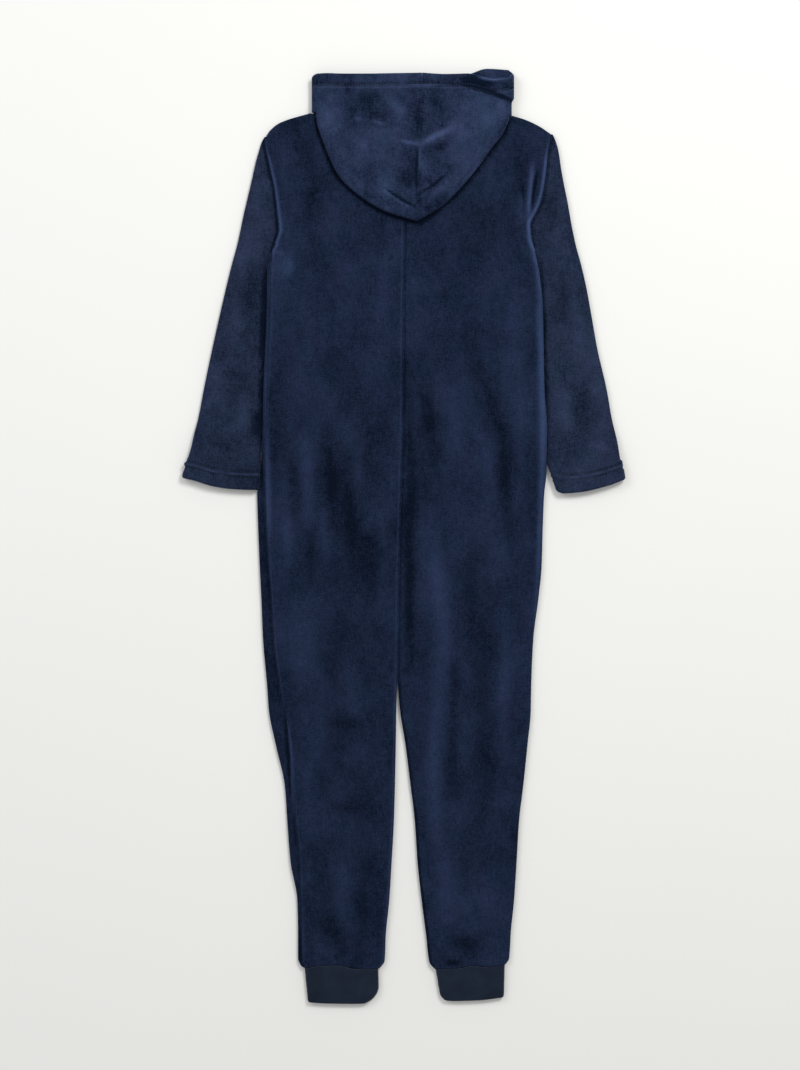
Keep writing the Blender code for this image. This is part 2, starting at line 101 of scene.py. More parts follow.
world = bpy.data.worlds.new("studio")
world.use_nodes = True
background = world.node_tree.nodes["Background"]
background.inputs["Color"].default_value = SKY_COLOUR
background.inputs["Strength"].default_value = SKY_STRENGTH
bpy.context.scene.world = world


def soft_light(name, place, size, watts, colour):
    """A square light that faces the middle of the garment."""
    data = bpy.data.lights.new(name, "AREA")
    data.shape = "SQUARE"
    data.size = size
    data.energy = watts
    data.color = colour
    light = bpy.data.objects.new(name, data)
    light.location = place
    light.rotation_euler = (-light.location).to_track_quat("-Z", "Y").to_euler()
    bpy.context.scene.collection.objects.link(light)


soft_light("key", (1.2, 1.65, 2.4), 0.9, 49.5, (1.0, 0.99, 0.97))
soft_light("fill", (-2.0, 1.5, 2.2), 1.6, 28, (0.97, 0.98, 1.0))
print("lights: key and fill")

# %% [markdown]
# ## Cloth, and how it is stacked
#
# These are the sizes that the packed solids were made with. Fleece lies in layers 3.5 mm
# apart from middle to middle, and a fold is a half circle from one layer to the next. They
# are repeated here so that each fine shell sits where its solid is. The garment's two sides
# are numbered -1 and 1, so that a side also says which way is outwards.

# %% Sizes
SIDES = {-1: "left", 1: "right"}
FLEECE = 2.5 * MM
RIB = 1.5 * MM
LAYER = 3.5 * MM  # from the middle of one layer to the middle of the next
SEAM = 0.06 * MM  # between two pieces at a seam, which a thread draws together
LOW = FLEECE / 2  # middle of the layer that lies on the floor
HALF_TURN = math.pi
QUARTER_TURN = math.pi / 2 - SEAM / LAYER
EDGE = FLEECE / 2 + LAYER / 2  # from the outline to the start of a fold

ARMPIT = 350 * MM
ARMPIT_BLEND = 22 * MM  # below the armpit, where the side folds close
CROTCH = -180 * MM
ZIP_END = -59 * MM
ZIP_TOP = 470 * MM
ZIP_HALF = 4.0 * MM  # half of the gap between the front panels, along the zip
WRAP_UNDER = 8 * MM  # how far the right back panel reaches beneath, past its fold
ANKLE = -515 * MM
TUCK_LIFT = 7.4 * MM  # height of the body's sides above the floor, where a sleeve lies below
TUCK_MARGIN = 22 * MM
TUCK_SLOPE = 62 * MM
TUCK_ENDS = (60 * MM, 140 * MM, 304 * MM, 352 * MM)  # it rises between the first two
HEM_STEP = FLEECE + 0.8 * MM  # from a hem's outer layer to its turned layer
SLEEVE_HEM = 21 * MM
RIM_HEM = 16 * MM
HEM_HEIGHT = 9.6 * MM  # between the outer layers of a sleeve at its hem
HEM_RISE = (150 * MM, 84 * MM)  # where a sleeve starts to thicken, and where it has
HEM_MIDDLE = 60 * MM
HOOD_TOP = LOW + 3 * LAYER
print("stack: floor layer at", LOW, "and the hood's top layer at", round(HOOD_TOP, 5))

# %% [markdown]
# ## The outline
#
# A pattern cutter draws an outline from a few measured points with a curved ruler. Here a
# short table has one row for each point, in millimetres, and a smooth curve that never
# overshoots joins them. The left side seam lies on top, a little inside the edge, because the
# front panel comes round the side.

# %% Tables and the curve through their rows
def table(columns, *rows):
    """The named columns of a short table, in metres, from rows in millimetres."""
    return dict(zip(columns.split(), np.array(rows, float).T * MM))


def curve(place, places, values):
    """The value at each place on a smooth curve through the given ones, without overshoot."""
    if places[0] > places[-1]:
        places, values = places[::-1], values[::-1]
    step = np.diff(places)
    slope = np.diff(values) / step
    product = slope[:-1] * slope[1:]
    total = np.where(product > 0, slope[:-1] + slope[1:], 1)
    tangent = np.concatenate([slope[:1], np.where(product > 0, 2 * product / total, 0), slope[-1:]])
    place = np.clip(place, places[0], places[-1])
    part = np.clip(np.searchsorted(places, place) - 1, 0, len(step) - 1)
    share = (place - places[part]) / step[part]
    rest = 1 - share
    return (
        rest * rest * (1 + 2 * share) * values[part]
        + share * share * (1 + 2 * rest) * values[part + 1]
        + share * rest * step[part] * (rest * tangent[part] - share * tangent[part + 1])
    )


def at(rows, column, y):
    """One column of a table that has y as its first, at any y."""
    return curve(y, rows["y"], rows[column])


def above(rows, x):
    """The second column of a table that has x as its first, at any x."""
    return curve(x, *rows.values())


def mixed(first, second, share):
    """A value between two others."""
    return first * (1 - share) + second * share


def ease(value):
    """0 to 1 with soft ends, for a value that runs past both."""
    value = np.clip(value, 0, 1)
    return value * value * (3 - 2 * value)


def bell(distance, reach):
    """1 at no distance, falling to nothing on a bell curve."""
    return np.exp(-((distance / reach) ** 2))


print("halfway up, ease gives", ease(0.5), "and bell falls to", round(float(bell(1, 1)), 3), "at its reach")

# %% Tables of the body
BODY = table(
    "y left left_seam right",
    (350, -156, -152, 156),
    (341, -160.5, -156.5, 158.5),
    (314, -162.5, -158.5, 163),
    (276, -163, -159, 167),
    (225, -165, -161, 168),
    (177, -167, -163, 169),
    (129, -168, -164, 172),
    (81, -171, -166, 172),
    (50, -175, -165, 169),
    (15, -174, -164, 167.5),
    (-35, -172, -161, 166),
    (-75, -170, -158, 162),
    (-123, -168, -155, 156),
    (-180, -163, -148, 153.5),
    (-208, -161, -144, 153),
    (-250, -152.5, -136, 149),
    (-298, -142, -132, 144),
    (-340, -139, -129, 139),
    (-390, -135, -124, 136),
    (-435, -127, -123, 133),
    (-475, -126, -122, 129),
    (-508, -126, -121, 127),
    (-515, -122, -117, 122),
)
CENTRE = table("y x", (498, 2), (350, 1), (276, 0), (129, -1), (50, -3), (-75, -6), (-180, -7))
INSEAM = table(
    "y left right",
    (-180, -7.1, -6.6),
    (-208, -8, -4),
    (-250, -8.6, 2.6),
    (-298, -9.6, 8.6),
    (-340, -10.8, 13.6),
    (-390, -13.6, 17),
    (-435, -16.4, 21.8),
    (-475, -20.4, 27),
    (-508, -22, 31),
    (-515, -28, 38),
)
SHOULDER = {
    -1: table("x y", (-166, 477), (-160, 487), (-147, 497), (-110.5, 508.5)),
    1: table("x y", (129.5, 505.5), (146, 500.5), (163, 492.5), (177, 483)),
}
BACK_NECK = table("x y", (-110.5, 508.5), (2, 498), (129.5, 504))
FRONT_NECK = table("x y", (-110.5, 508.5), (2, 484), (129.5, 504))
print("outline: body", len(BODY["y"]), "rows, inseams", len(INSEAM["y"]), "rows")

# %% Tables of the sleeves and the hood
SLEEVE = {
    -1: table(
        "y outer inner",
        (481, -165.5, -163.5),
        (474, -169.3, -166),
        (464, -172.5, -164.8),
        (448, -177, -161.4),
        (430, -181, -157.5),
        (415, -184.5, -154.5),
        (385, -191.5, -151),
        (368, -195, -149.5),
        (350, -199, -155),
        (328, -205, -160),
        (300, -212, -150),
        (270, -219, -130),
        (225, -229, -124),
        (177, -239, -138),
        (140, -246, -156),
        (118, -251, -169),
        (104, -253.5, -170),
        (92, -256.3, -170.8),
        (84, -258.6, -171),
        (76.5, -262.3, -171.4),
        (73.5, -261.6, -171.6),
        (67, -263.9, -172),
        (60, -265.3, -172.5),
    ),
    1: table(
        "y outer inner",
        (484, 178.5, 176.5),
        (478, 181.5, 177),
        (464, 186, 174.5),
        (441, 189.5, 172.3),
        (422, 193, 170),
        (400, 197.5, 165),
        (385, 200, 158),
        (374, 202, 153),
        (350, 207, 155),
        (328, 213, 160.5),
        (300, 219.5, 152),
        (270, 225, 134),
        (225, 233, 128),
        (177, 244, 141),
        (140, 250.5, 158),
        (118, 255.3, 171),
        (107, 257.3, 171.6),
        (96, 258.8, 171.8),
        (91, 259.5, 172.4),
        (88, 259.9, 173.8),
        (81.5, 263.2, 176),
        (78.5, 262.9, 177),
        (73, 264.4, 179),
        (60, 266.6, 183.5),
    ),
}
SLEEVE_TIP = {-1: 479.5 * MM, 1: 482.5 * MM}
HEM_LINE = {
    -1: table("x y", (-265, 71), (-250, 67.5), (-228, 60.8), (-206, 57.6), (-178, 56.4), (-170, 56.4)),
    1: table("x y", (184, 55), (192, 52.4), (211, 53.6), (243, 60.7), (267, 69.6)),
}
HOOD = {
    -1: table(
        "rim_x rim_y tip_x tip_y neck_x",
        (22.47, 555.5, 16.47, 378, 1.97),
        (-12, 555, -22, 390, -25),
        (-45, 554.5, -53, 409, -52),
        (-72, 554.5, -76, 431, -76),
        (-90, 555, -92, 463, -93),
        (-103, 554.5, -103, 494, -104),
    ),
    1: table(
        "rim_x rim_y tip_x tip_y neck_x",
        (22.53, 555.5, 16.53, 378, 2.03),
        (50, 554, 45, 395, 30),
        (77, 554.5, 75, 425, 60),
        (94, 551, 92, 446, 78),
        (107, 547.6, 106, 466, 96),
        (118, 548, 117.5, 480.5, 112),
        (123.5, 549.5, 127, 499.5, 124),
    ),
}
HOOD_FRONT = {
    -1: table(
        "rim_x rim_y neck_x",
        (-103, 549, -103),
        (-75, 541, -77),
        (-40, 531, -40),
        (-3, 524, -2.5),
    ),
    1: table(
        "rim_x rim_y neck_x",
        (123.5, 560, 123.5),
        (101, 561.5, 99),
        (82, 556, 82),
        (50, 540, 50),
        (8, 524, 7),
    ),
}
WRAP_SIDE = {-1: -109.5 * MM, 1: 130 * MM}
print("the hood's tip is at", round(HOOD[-1]["tip_y"].min() * 1000), "mm")

# %% [markdown]
# ## Heights
#
# The body's sides lie on the sleeves, which are tucked in under them, so the sides are lifted
# there. The back panels also rise in a few broad swells, where the cloth was pushed together
# a little, and in narrower folds. Each fold is one row of a table: its two ends, its width,
# how high it stands or how deep it goes, and how far its middle bows to one side. Placing
# them one by one keeps them as uneven as real ones.

# %% Lift, folds and clouds
LATTICE = 64  # random values along each side of a square that repeats
LATTICE_MIDDLE = (31, 29)  # where the garment's middle falls on it
FOLD_TAPER = 0.4  # share of a fold's length over which each end fades out


def tuck(side, y):
    """How far the sleeve reaches in under the body's side."""
    edge = at(BODY, SIDES[side], y)
    return np.maximum(0, side * (edge - at(SLEEVE[side], "inner", y)))


def lift(x, y):
    """How far the body lies above the floor, because its sides lie on the sleeves."""
    height = np.zeros_like(x)
    along = np.interp(y, TUCK_ENDS, [0, 1, 1, 0])
    for side, side_name in SIDES.items():
        inwards = side * (at(BODY, side_name, y) - x)
        reach = tuck(side, y) + TUCK_MARGIN
        height = height + TUCK_LIFT * ease(along) * (1 - ease((inwards - reach) / TUCK_SLOPE))
    return height


def folds(x, y, rows):
    """Height of soft ridges, or of troughs where top is negative, along short bowed lines."""
    height = np.zeros_like(x)
    for x0, y0, x1, y1, width, top, bow in zip(*rows.values()):
        length = math.hypot(x1 - x0, y1 - y0)
        ahead = ((x1 - x0) / length, (y1 - y0) / length)
        run = ((x - x0) * ahead[0] + (y - y0) * ahead[1]) / length
        off = (y - y0) * ahead[0] - (x - x0) * ahead[1] - 4 * bow * run * (1 - run)
        taper = ease(run / FOLD_TAPER) * ease((1 - run) / FOLD_TAPER)
        height = height + top * taper * bell(off, width)
    return height


def cloud(x, y, size, seed):
    """Smooth random values from -1 to 1, in patches of about that size."""
    lattice = np.random.default_rng(seed).uniform(-1, 1, (LATTICE, LATTICE))
    across = (0.8 * x + 0.6 * y) / size + LATTICE_MIDDLE[0]
    upward = (0.8 * y - 0.6 * x) / size + LATTICE_MIDDLE[1]
    column = np.floor(across).astype(int)
    row = np.floor(upward).astype(int)
    right = ease(across - column)
    top = ease(upward - row)
    here, beside = column % LATTICE, (column + 1) % LATTICE
    row, next_row = row % LATTICE, (row + 1) % LATTICE
    lower = lattice[row, here] * (1 - right) + lattice[row, beside] * right
    upper = lattice[next_row, here] * (1 - right) + lattice[next_row, beside] * right
    return lower * (1 - top) + upper * top


def uneven(x, y, kinds):
    """Sum of clouds, each with its height, its size and its seed."""
    return sum(height * cloud(x, y, size, seed) for height, size, seed in kinds)


print("the left sleeve is tucked in by", round(float(tuck(-1, 225 * MM)) * 1000), "mm")

# %% Swells and folds of the back
FOLD_COLUMNS = "x0 y0 x1 y1 width top bow"
SWELLS = table(
    FOLD_COLUMNS,
    (82, 150, 58, -500, 42, 2.5, 0),
    (-95, 220, -80, -500, 40, 2.0, 0),
    (66, 360, 86, 110, 45, 1.5, 0),
)
BACK_FOLDS = table(
    FOLD_COLUMNS,
    (-4, 60, -4, -230, 6, 1.6, 0),
    (16, 40, 18, -230, 8, -0.8, 0),
    (34, 20, 44, -260, 11, 1.5, 0),
    (-150, -70, -20, -22, 7, 1.1, 4),
    (-146, -84, -30, -44, 6, -0.7, 3),
    (-120, -120, -40, -92, 8, 0.9, -4),
    (-150, 60, -60, 96, 9, 0.8, 5),
    (-128, 150, -118, -110, 10, 1.0, -3),
    (-86, 140, -92, -70, 10, -0.7, 2),
    (120, -60, 60, -120, 9, 0.8, 4),
    (46, -498, 112, -462, 5, 1.4, 3),
    (40, -484, 96, -446, 5, -0.8, 2),
    (50, -470, 104, -428, 6, 1.1, -3),
    (-40, -500, -100, -462, 6, 1.0, 4),
    (-110, -500, -60, -470, 5, -0.7, 3),
    (-110, -440, -60, -400, 8, 0.9, 4),
    (157, 452, 148.5, 370, 2.6, 2.0, -1),
    (162, 440, 152, 388, 2.0, -0.9, -2),
    (151, 440, 143, 380, 3.6, -0.6, -1),
    (-150, 452, -139, 380, 5, 0.7, 2),
    (110, 330, 40, 300, 10, 0.8, 4),
    (-60, 330, -120, 300, 10, 0.7, -4),
)
print("folds on the back:", len(SWELLS["top"]) + len(BACK_FOLDS["top"]))

# %% [markdown]
# ## Painted light and shade on the pile
#
# The pile keeps the mark of every hand that smoothed it, and how light it looks depends on how
# it leans to the light. The light and dark strokes, which run mostly down the legs and the back,
# are painted light and shade: painted highlights along rolled edges and ridges, painted shading
# of broad folds and of the pile's lean, and painted shadows beside edges and creases. They are
# placed like the folds, and each point of the cloth carries their sum as an attribute that the
# fleece finish reads. The top column says how light a stroke is, or how dark where it is negative.

# %% Painted light and shade of the pile
BACK_PAINTED_LIGHT = table(
    FOLD_COLUMNS,
    (-116, 150, -112, -20, 8, 0.7, 0),
    (-134, 130, -128, -20, 8, -0.4, 0),
    (-92, 150, -84, 0, 9, -0.5, 0),
    (-60, 140, -50, 20, 7, 0.35, 0),
    (-76, 130, -72, -30, 16, -0.6, 0),
    (-50, 200, -50, 20, 30, -0.3, 0),
    (60, 210, 112, 30, 10, 0.5, 6),
    (40, 220, 76, 60, 10, 0.45, 4),
    (84, 230, 128, 90, 8, -0.4, 0),
    (20, 200, 46, 60, 8, -0.35, 0),
    (118, 150, 128, -20, 9, -0.5, 0),
    (142, 200, 140, 20, 7, 0.3, 0),
    (26, 230, 34, 90, 12, -0.35, 0),
    (130, 330, 140, 60, 18, 0.3, 0),
    (0, 250, 14, -10, 7, -0.5, 0),
    (-60, 350, -50, 230, 30, 0.3, 0),
    (100, 430, 70, 330, 34, -0.25, 0),
    (-100, 470, -120, 380, 22, -0.25, 0),
    (-130, -50, -110, -190, 24, 0.4, 0),
    (-100, -218, -36, -232, 11, -0.6, 4),
    (-100, -322, -40, -334, 10, -0.5, 3),
    (-138, 40, -134, -60, 7, 0.4, 0),
    (-96, 60, -92, -60, 7, 0.45, 0),
    (-112, 60, -110, -80, 6, -0.4, 0),
    (-66, 90, -60, -60, 7, -0.4, 0),
    (-26, 60, -22, -120, 8, 0.3, 0),
    (-62, -120, -54, -260, 10, 0.3, 0),
    (-100, -140, -94, -300, 8, 0.3, 0),
    (-76, -350, -70, -480, 9, 0.3, 0),
    (-52, -380, -48, -500, 9, -0.3, 0),
    (-40, 30, -34, -80, 20, -0.45, 0),
    (-118, -240, -104, -380, 16, 0.3, 0),
    (-60, -270, -50, -420, 18, 0.25, 0),
    (-80, -310, -30, -330, 12, -0.35, 3),
    (-100, -440, -60, -512, 14, -0.5, 0),
    (7, 80, 8, -190, 7, -1.0, 0),
    (20, 70, 56, -200, 13, 0.7, 4),
    (50, -90, 40, -420, 11, 0.9, -6),
    (64, -60, 58, -330, 6, -0.4, 0),
    (40, -330, 54, -500, 12, 0.5, 3),
    (100, -60, 96, -360, 16, -0.5, 0),
    (84, 30, 80, -160, 8, -0.4, 0),
    (122, -60, 118, -300, 6, 0.3, 0),
    (84, 10, 92, -140, 16, -0.3, 0),
    (128, -20, 122, -300, 12, 0.35, 0),
    (44, -478, 100, -500, 10, -0.7, 3),
    (108, -380, 100, -480, 12, 0.3, 0),
    (-138, 343, -136, 304, 6, 0.8, 0),
    (-158, 342, -140, 338, 2, 0.8, 1),
    (157, 462, 149, 366, 2.9, 2.6, -1),
    (163, 446, 154, 386, 1.6, -1.8, -2),
    (143, 432, 145, 380, 1.6, -0.7, 0),
    (142, 420, 143, 370, 5, 0.5, 0),
    (152, 360, 160, 320, 4, 0.7, 0),
    (12, 330, 14, 280, 12, 0.3, 0),
    (-24, 360, -26, 240, 8, 0.3, 0),
    (147, 392, 169, 262, 3.8, 2.2, 3),
    (160, 370, 168, 10, 4.8, 2.2, 2),
    (168, 150, 162, -80, 3.6, 1.1, 0),
    (165, 110, 146, -300, 2.4, 0.8, 3),
    (-158, 400, -167, 40, 2.2, 1.0, -1),
    (-163, 150, -160, -30, 3.4, 1.3, 0),
    (-169, 230, -169, 0, 1.2, -0.5, 0),
    (-139.4, -195, -130.5, -355, 2, 1.2, 1),
    (-143.5, -185, -134.5, -325, 1.5, -1.6, 1),
    (42, -521, 78, -517, 2.2, 1.4, -2),
    (46, -511, 74, -509, 4, -0.9, 0),
)
SLEEVE_PAINTED_LIGHT = {
    -1: table(
        FOLD_COLUMNS,
        (-180, 400, -210, 180, 9, 0.35, 0),
        (-196, 330, -190, 250, 14, -0.4, 0),
        (-214, 250, -236, 120, 12, 0.4, 0),
        (-190, 180, -200, 110, 12, 0.5, 0),
        (-176, 160, -176, 110, 7, -0.7, 0),
        (-240, 118, -200, 104, 6, -0.4, 0),
        (-164, 380, -172, 60, 3, -1.2, 0),
    ),
    1: table(
        FOLD_COLUMNS,
        (190, 400, 214, 200, 9, 0.3, 0),
        (186, 330, 190, 240, 12, -0.35, 0),
        (220, 260, 240, 130, 12, 0.35, 0),
        (186, 200, 200, 120, 8, 0.6, 0),
        (206, 180, 214, 120, 10, -0.4, 0),
        (220, 112, 250, 104, 6, 0.4, 0),
        (164, 380, 173, 70, 3, -1.2, 0),
    ),
}
HOOD_PAINTED_LIGHT = table(
    FOLD_COLUMNS,
    (-98, 530, -84, 470, 14, 0.6, 0),
    (-60, 530, -24, 520, 12, -0.5, 0),
    (-70, 518, 4, 494, 13, -0.6, 0),
    (-60, 501, -47, 499, 1.8, 1.0, 0),
    (-38, 500, -22, 492, 2, 1.2, 0),
    (-70, 478, -14, 448, 13, 0.4, 0),
    (-20, 524, 4, 502, 6, 0.8, 0),
    (14, 566, 18, 462, 12, -0.6, 0),
    (34, 556, 48, 480, 10, -0.4, 0),
    (70, 536, 116, 480, 18, 0.8, 4),
    (112, 528, 124, 496, 8, 0.8, 0),
    (46, 498, 90, 470, 9, 0.5, 0),
    (-12, 477, 26, 468, 2, 1.4, -1),
    (14, 466, 66, 491, 3.6, 1.9, 1),
    (30, 462, 64, 474, 5, -0.5, 0),
    (12, 474, 12, 410, 6, -0.5, 0),
    (27, 462, 23, 426, 5, 0.5, 0),
    (19.5, 472, 18.5, 436, 1.4, 1.3, 1),
    (16.5, 474, 15.5, 404, 1.4, -1.0, 0),
    (-38, 430, -8, 404, 9, 0.7, 0),
    (-30, 424, 20, 392, 1.2, -2.2, -2),
    (-28, 420, 18, 389, 2, 0.7, -2),
    (-4, 444, 8, 412, 8, -0.6, 0),
    (14, 408, 58, 442, 1.2, -1.0, -3),
    (26, 404, 56, 430, 4, 0.9, -3),
    (44, 452, 76, 430, 8, -0.3, 0),
    (60, 542, 142, 514, 2.6, -2.3, 5),
    (60, 545, 122, 536, 5, -0.9, 4),
    (84, 551, 131, 551, 2, 2.4, -4),
    (-4, 540.5, 60, 540.5, 1.1, 1.3, 0),
    (-110, 546, 60, 548, 7, 0.35, 0),
)


def nap_strokes(rows, x, y):
    """Painted highlight and shade of the pile along those strokes."""
    return folds(x, y, rows) / MM


print("nap strokes:", sum(len(rows["top"]) for rows in (BACK_PAINTED_LIGHT, SLEEVE_PAINTED_LIGHT[-1], SLEEVE_PAINTED_LIGHT[1], HOOD_PAINTED_LIGHT)))

# %% [markdown]
# ## Heights of the front and the back
#
# The front panels follow the lift alone, because their weight rests on the floor. The back
# panels lie a layer higher and carry the swells and folds, which fade out towards the side
# edges. Beneath the hood its weight presses them nearly flat.

# %% Heights of the front and back layers
HOOD_TIP = {
    axis: np.concatenate([HOOD[-1]["tip_" + axis][:0:-1], HOOD[1]["tip_" + axis]]) for axis in "xy"
}
SWELL_MARGIN = 25 * MM
LEG_MARGIN = 20 * MM
HOOD_MARGIN = 14 * MM
HOOD_SHADE = 3 * MM  # how far from the hood's outline its painted shadow reaches on the back's pile
HOOD_OVERLAP = 8 * MM  # how far in beneath the hood the painted shadow along its outline still counts
HOOD_PRESS = 0.8  # share of the back's relief that the hood's weight takes away
FOLDS_FADE = 30 * MM
BACK_UNEVEN = ((0.35 * MM, 34 * MM, 3), (0.2 * MM, 13 * MM, 4))  # height, size and seed
DEEPEST = 0.9 * MM  # that a trough goes into the layer below


def side_distance(x, y):
    """Distance from the nearest side edge, or nothing above the armpits."""
    inner = np.minimum(abs(x - at(INSEAM, "left", y)), abs(x - at(INSEAM, "right", y)))
    inner = np.where(y < CROTCH + LEG_MARGIN, inner, 1)
    nearest = np.minimum(x - at(BODY, "left", y), at(BODY, "right", y) - x)
    return np.maximum(0, np.minimum(nearest, inner))


def under_hood(x, y):
    """1 beneath the hood, easing to 0 just outside its lower outline."""
    inside = (x > WRAP_SIDE[-1]) & (x < WRAP_SIDE[1])
    return np.where(inside, ease((y - above(HOOD_TIP, x)) / HOOD_MARGIN + 1), 0)


def painted_hood_shadow(x, y):
    """1 along the hood's lower outline, where a painted shadow darkens the back's pile, easing to 0."""
    outline = above(HOOD_TIP, x)
    slope = 1 + ((above(HOOD_TIP, x + MM) - outline) / MM) ** 2
    aside = np.maximum(HOOD_TIP["x"].min() - x, x - HOOD_TIP["x"].max())
    away = np.hypot(np.maximum(0, (outline - y) / np.sqrt(slope)), 2 * np.maximum(0, aside))
    return np.where(y < outline + HOOD_OVERLAP, bell(away, HOOD_SHADE), 0)


def above_armpit(y, fade):
    """1 above the armpits, easing to 0 over that much below them."""
    return ease((y - ARMPIT) / fade + 1)


def front_height(x, y):
    """Height of the front panels' middle."""
    return LOW + lift(x, y)


def back_height(x, y):
    """Height of the back panels' middle."""
    inside = ease(side_distance(x, y) / SWELL_MARGIN)
    relief = folds(x, y, SWELLS) * inside
    relief = relief + folds(x, y, BACK_FOLDS) * np.maximum(inside, above_armpit(y, FOLDS_FADE))
    relief = relief + uneven(x, y, BACK_UNEVEN)
    return front_height(x, y) + LAYER + np.maximum(relief, -DEEPEST) * (1 - HOOD_PRESS * under_hood(x, y))


print("back's middle height:", round(float(back_height(np.zeros(1), np.zeros(1))[0]), 4))

# %% [markdown]
# ## One way to make a sheet
#
# Every piece of cloth starts as a flat grid, one of the simplest bmesh shapes. Its points are
# moved to the underside of the cloth, half a wall below the middle, and the whole grid is
# then extruded through to the upper side. Folded cloth keeps its thickness that way, because
# each point says which direction is outward. Where a seam pulls an edge in, the edge dips
# and the pile beside it stands a little proud.

# %% The seam's pull
SEAM_KINDS = {  # depth and reach of the groove; height, place and reach of the ridge beside it
    "flat": np.array([0.28, 0.8, 0.15, 2.0, 1.1]) * MM,
    "rolled": np.array([0.2, 0.7, 1.3, 3.0, 2.2]) * MM,
}


def pull_in(points, outward, axis, end, roll, light):
    """Bends one border of a sheet in, as its seam pulls it, and gives the painted light there: a painted
    highlight on the ridge beside the seam and painted shade in its groove.

    roll is 0 where the seam lies flat and 1 where the edge beside it is rolled.
    """
    step = np.linalg.norm(np.diff(points, axis=axis), axis=2)
    if end == "last":
        step = np.flip(step, axis)
    far = np.cumsum(step, axis=axis)
    far = np.concatenate([np.zeros_like(np.take(far, [0], axis)), far], axis=axis)
    if end == "last":
        far = np.flip(far, axis)
    share = roll(points[..., 1]) if callable(roll) else roll
    sizes = [mixed(flat, rolled, share) for flat, rolled in zip(*SEAM_KINDS.values())]
    depth, reach, height, place, width = sizes
    ridge = bell(far - place, width)
    groove = bell(far, reach)
    points = points - outward * (depth * groove - height * ridge)[..., None]
    # a painted highlight on the ridge beside the seam, and painted shade in its groove
    return points, light * (0.2 + 0.8 * share) * (ridge - 0.5 * groove)


print("seams dip by", SEAM_KINDS["flat"][0], "or", SEAM_KINDS["rolled"][0], "m")

# %% Sheets and finished pieces
collection = bpy.data.collections.new("onesie_pajama")
bpy.context.scene.collection.children.link(collection)
made = {}


def finished(name, mesh):
    """The object of a bmesh, shaded smooth, at the origin."""
    data = bpy.data.meshes.new(name)
    mesh.to_mesh(data)
    mesh.free()
    data.shade_smooth()
    piece = bpy.data.objects.new(name, data)
    collection.objects.link(piece)
    return piece


def sheet(name, rows, wall, seams=(), painted_strokes=None):
    """A piece of cloth from rows of (point, outward direction) pairs along its middle."""
    points, outward = np.swapaxes(np.array(rows), 0, 1)
    # light holds the painted light and shade of the pile, from its strokes and its seams
    light = np.zeros(points.shape[:2]) if painted_strokes is None else painted_strokes(points[..., 0], points[..., 1])
    for seam in seams:
        points, beside = pull_in(points, outward, *seam)
        light = light + beside
    points[..., 2] = np.maximum(points[..., 2], wall / 2 + SEAM)
    light = light.reshape(-1)
    under_side = (points - outward * wall / 2).reshape(-1, 3)
    upper_side = (points + outward * wall / 2).reshape(-1, 3)
    mesh = bmesh.new()
    segments = {"x_segments": points.shape[1] - 1, "y_segments": points.shape[0] - 1}
    bmesh.ops.create_grid(mesh, size=1, **segments)
    place = mesh.verts.layers.int.new("place")
    # this attribute carries the painted light and shade to the fleece finish
    nap = mesh.verts.layers.float.new("nap")
    for index, vertex in enumerate(mesh.verts):
        vertex[place] = index
        vertex[nap] = light[index]
        vertex.co = under_side[index]
    extruded = bmesh.ops.extrude_face_region(mesh, geom=list(mesh.faces))
    for vertex in extruded["geom"]:
        if isinstance(vertex, bmesh.types.BMVert):
            vertex.co = upper_side[vertex[place]]
    bmesh.ops.recalc_face_normals(mesh, faces=list(mesh.faces))
    piece = finished(name, mesh)
    print(name, "has", len(piece.data.polygons), "faces")
    return piece


print("the pieces go into the collection", collection.name)

# %% [markdown]
# ## Folds in cross-section
#
# A fold is a half circle, and a seam at the edge of the garment is where two quarter circles
# meet. The functions below give the points of one level section. The lean says how far the
# cloth has turned: 0 where it lies level, and pi where it has come right round.

# %% Fold profiles
FOLD_STEPS = 7


def turned(edge, outward, turn, rise, steps=FOLD_STEPS):
    """Points (x, change of height, lean) of a fold whose outline is at edge."""
    radius = abs(rise) / 2
    lean = np.linspace(0, turn, steps + 1)
    x = edge - outward * (FLEECE / 2 + radius) + outward * radius * np.sin(lean)
    return np.array([x, rise / 2 * (1 - np.cos(lean)), lean])


def unturned(edge, outward, length, steps=FOLD_STEPS):
    """The same number of points lying flat, up to the edge."""
    return np.array([edge - outward * length * np.linspace(1, 0, steps + 1)] + 2 * [np.zeros(steps + 1)])


def spread_out(count, gather=0.72):
    """Shares from 0 to 1 that lie closer together at both ends."""
    even = np.linspace(0, 1, count)
    return even - gather * np.sin(2 * math.pi * even) / (2 * math.pi)


print("a fold's radius is", LAYER / 2, "m")

# %% [markdown]
# ## Body panels
#
# Each panel runs from the centre seam, or from the inseam below the crotch, out to the side.
# The left front panel comes round the left edge and ends at the side seam on top, and the
# right back panel goes round the right edge and on beneath. That is how the real garment
# shows a strip of its front on one side only: it was laid down slightly turned. The sections
# are worked out at close stations down the garment and laid out as rows of one grid.

# %% Panel sections
RUN_MARGIN = 8 * MM  # at an open edge, where the points of the fold below it lie flat
ARMPIT_NOTCH = 2 * MM
WAVE_REACH = 30 * MM  # above the ankle seam, where its wave fades out
ANKLE_WAVE = {  # how far the fleece hangs over the rib along the ankle seam
    -1: table("x down", (-126, -3), (-116, 1), (-98, -1.5), (-80, -2), (-58, 2.2), (-40, 3), (-22, 0)),
    1: table("x down", (24, -1), (40, 2.6), (62, 2), (84, -1.2), (104, 0.5), (120, -2.5), (128, -3)),
}
WRAP_STEPS = 6
SHORTEST_WRAP = 0.6 * MM
CLOSING = 12 * MM  # height over which a seam or fold closes up
RISE = {"front": LAYER, "back": -LAYER}  # from a layer to the other one


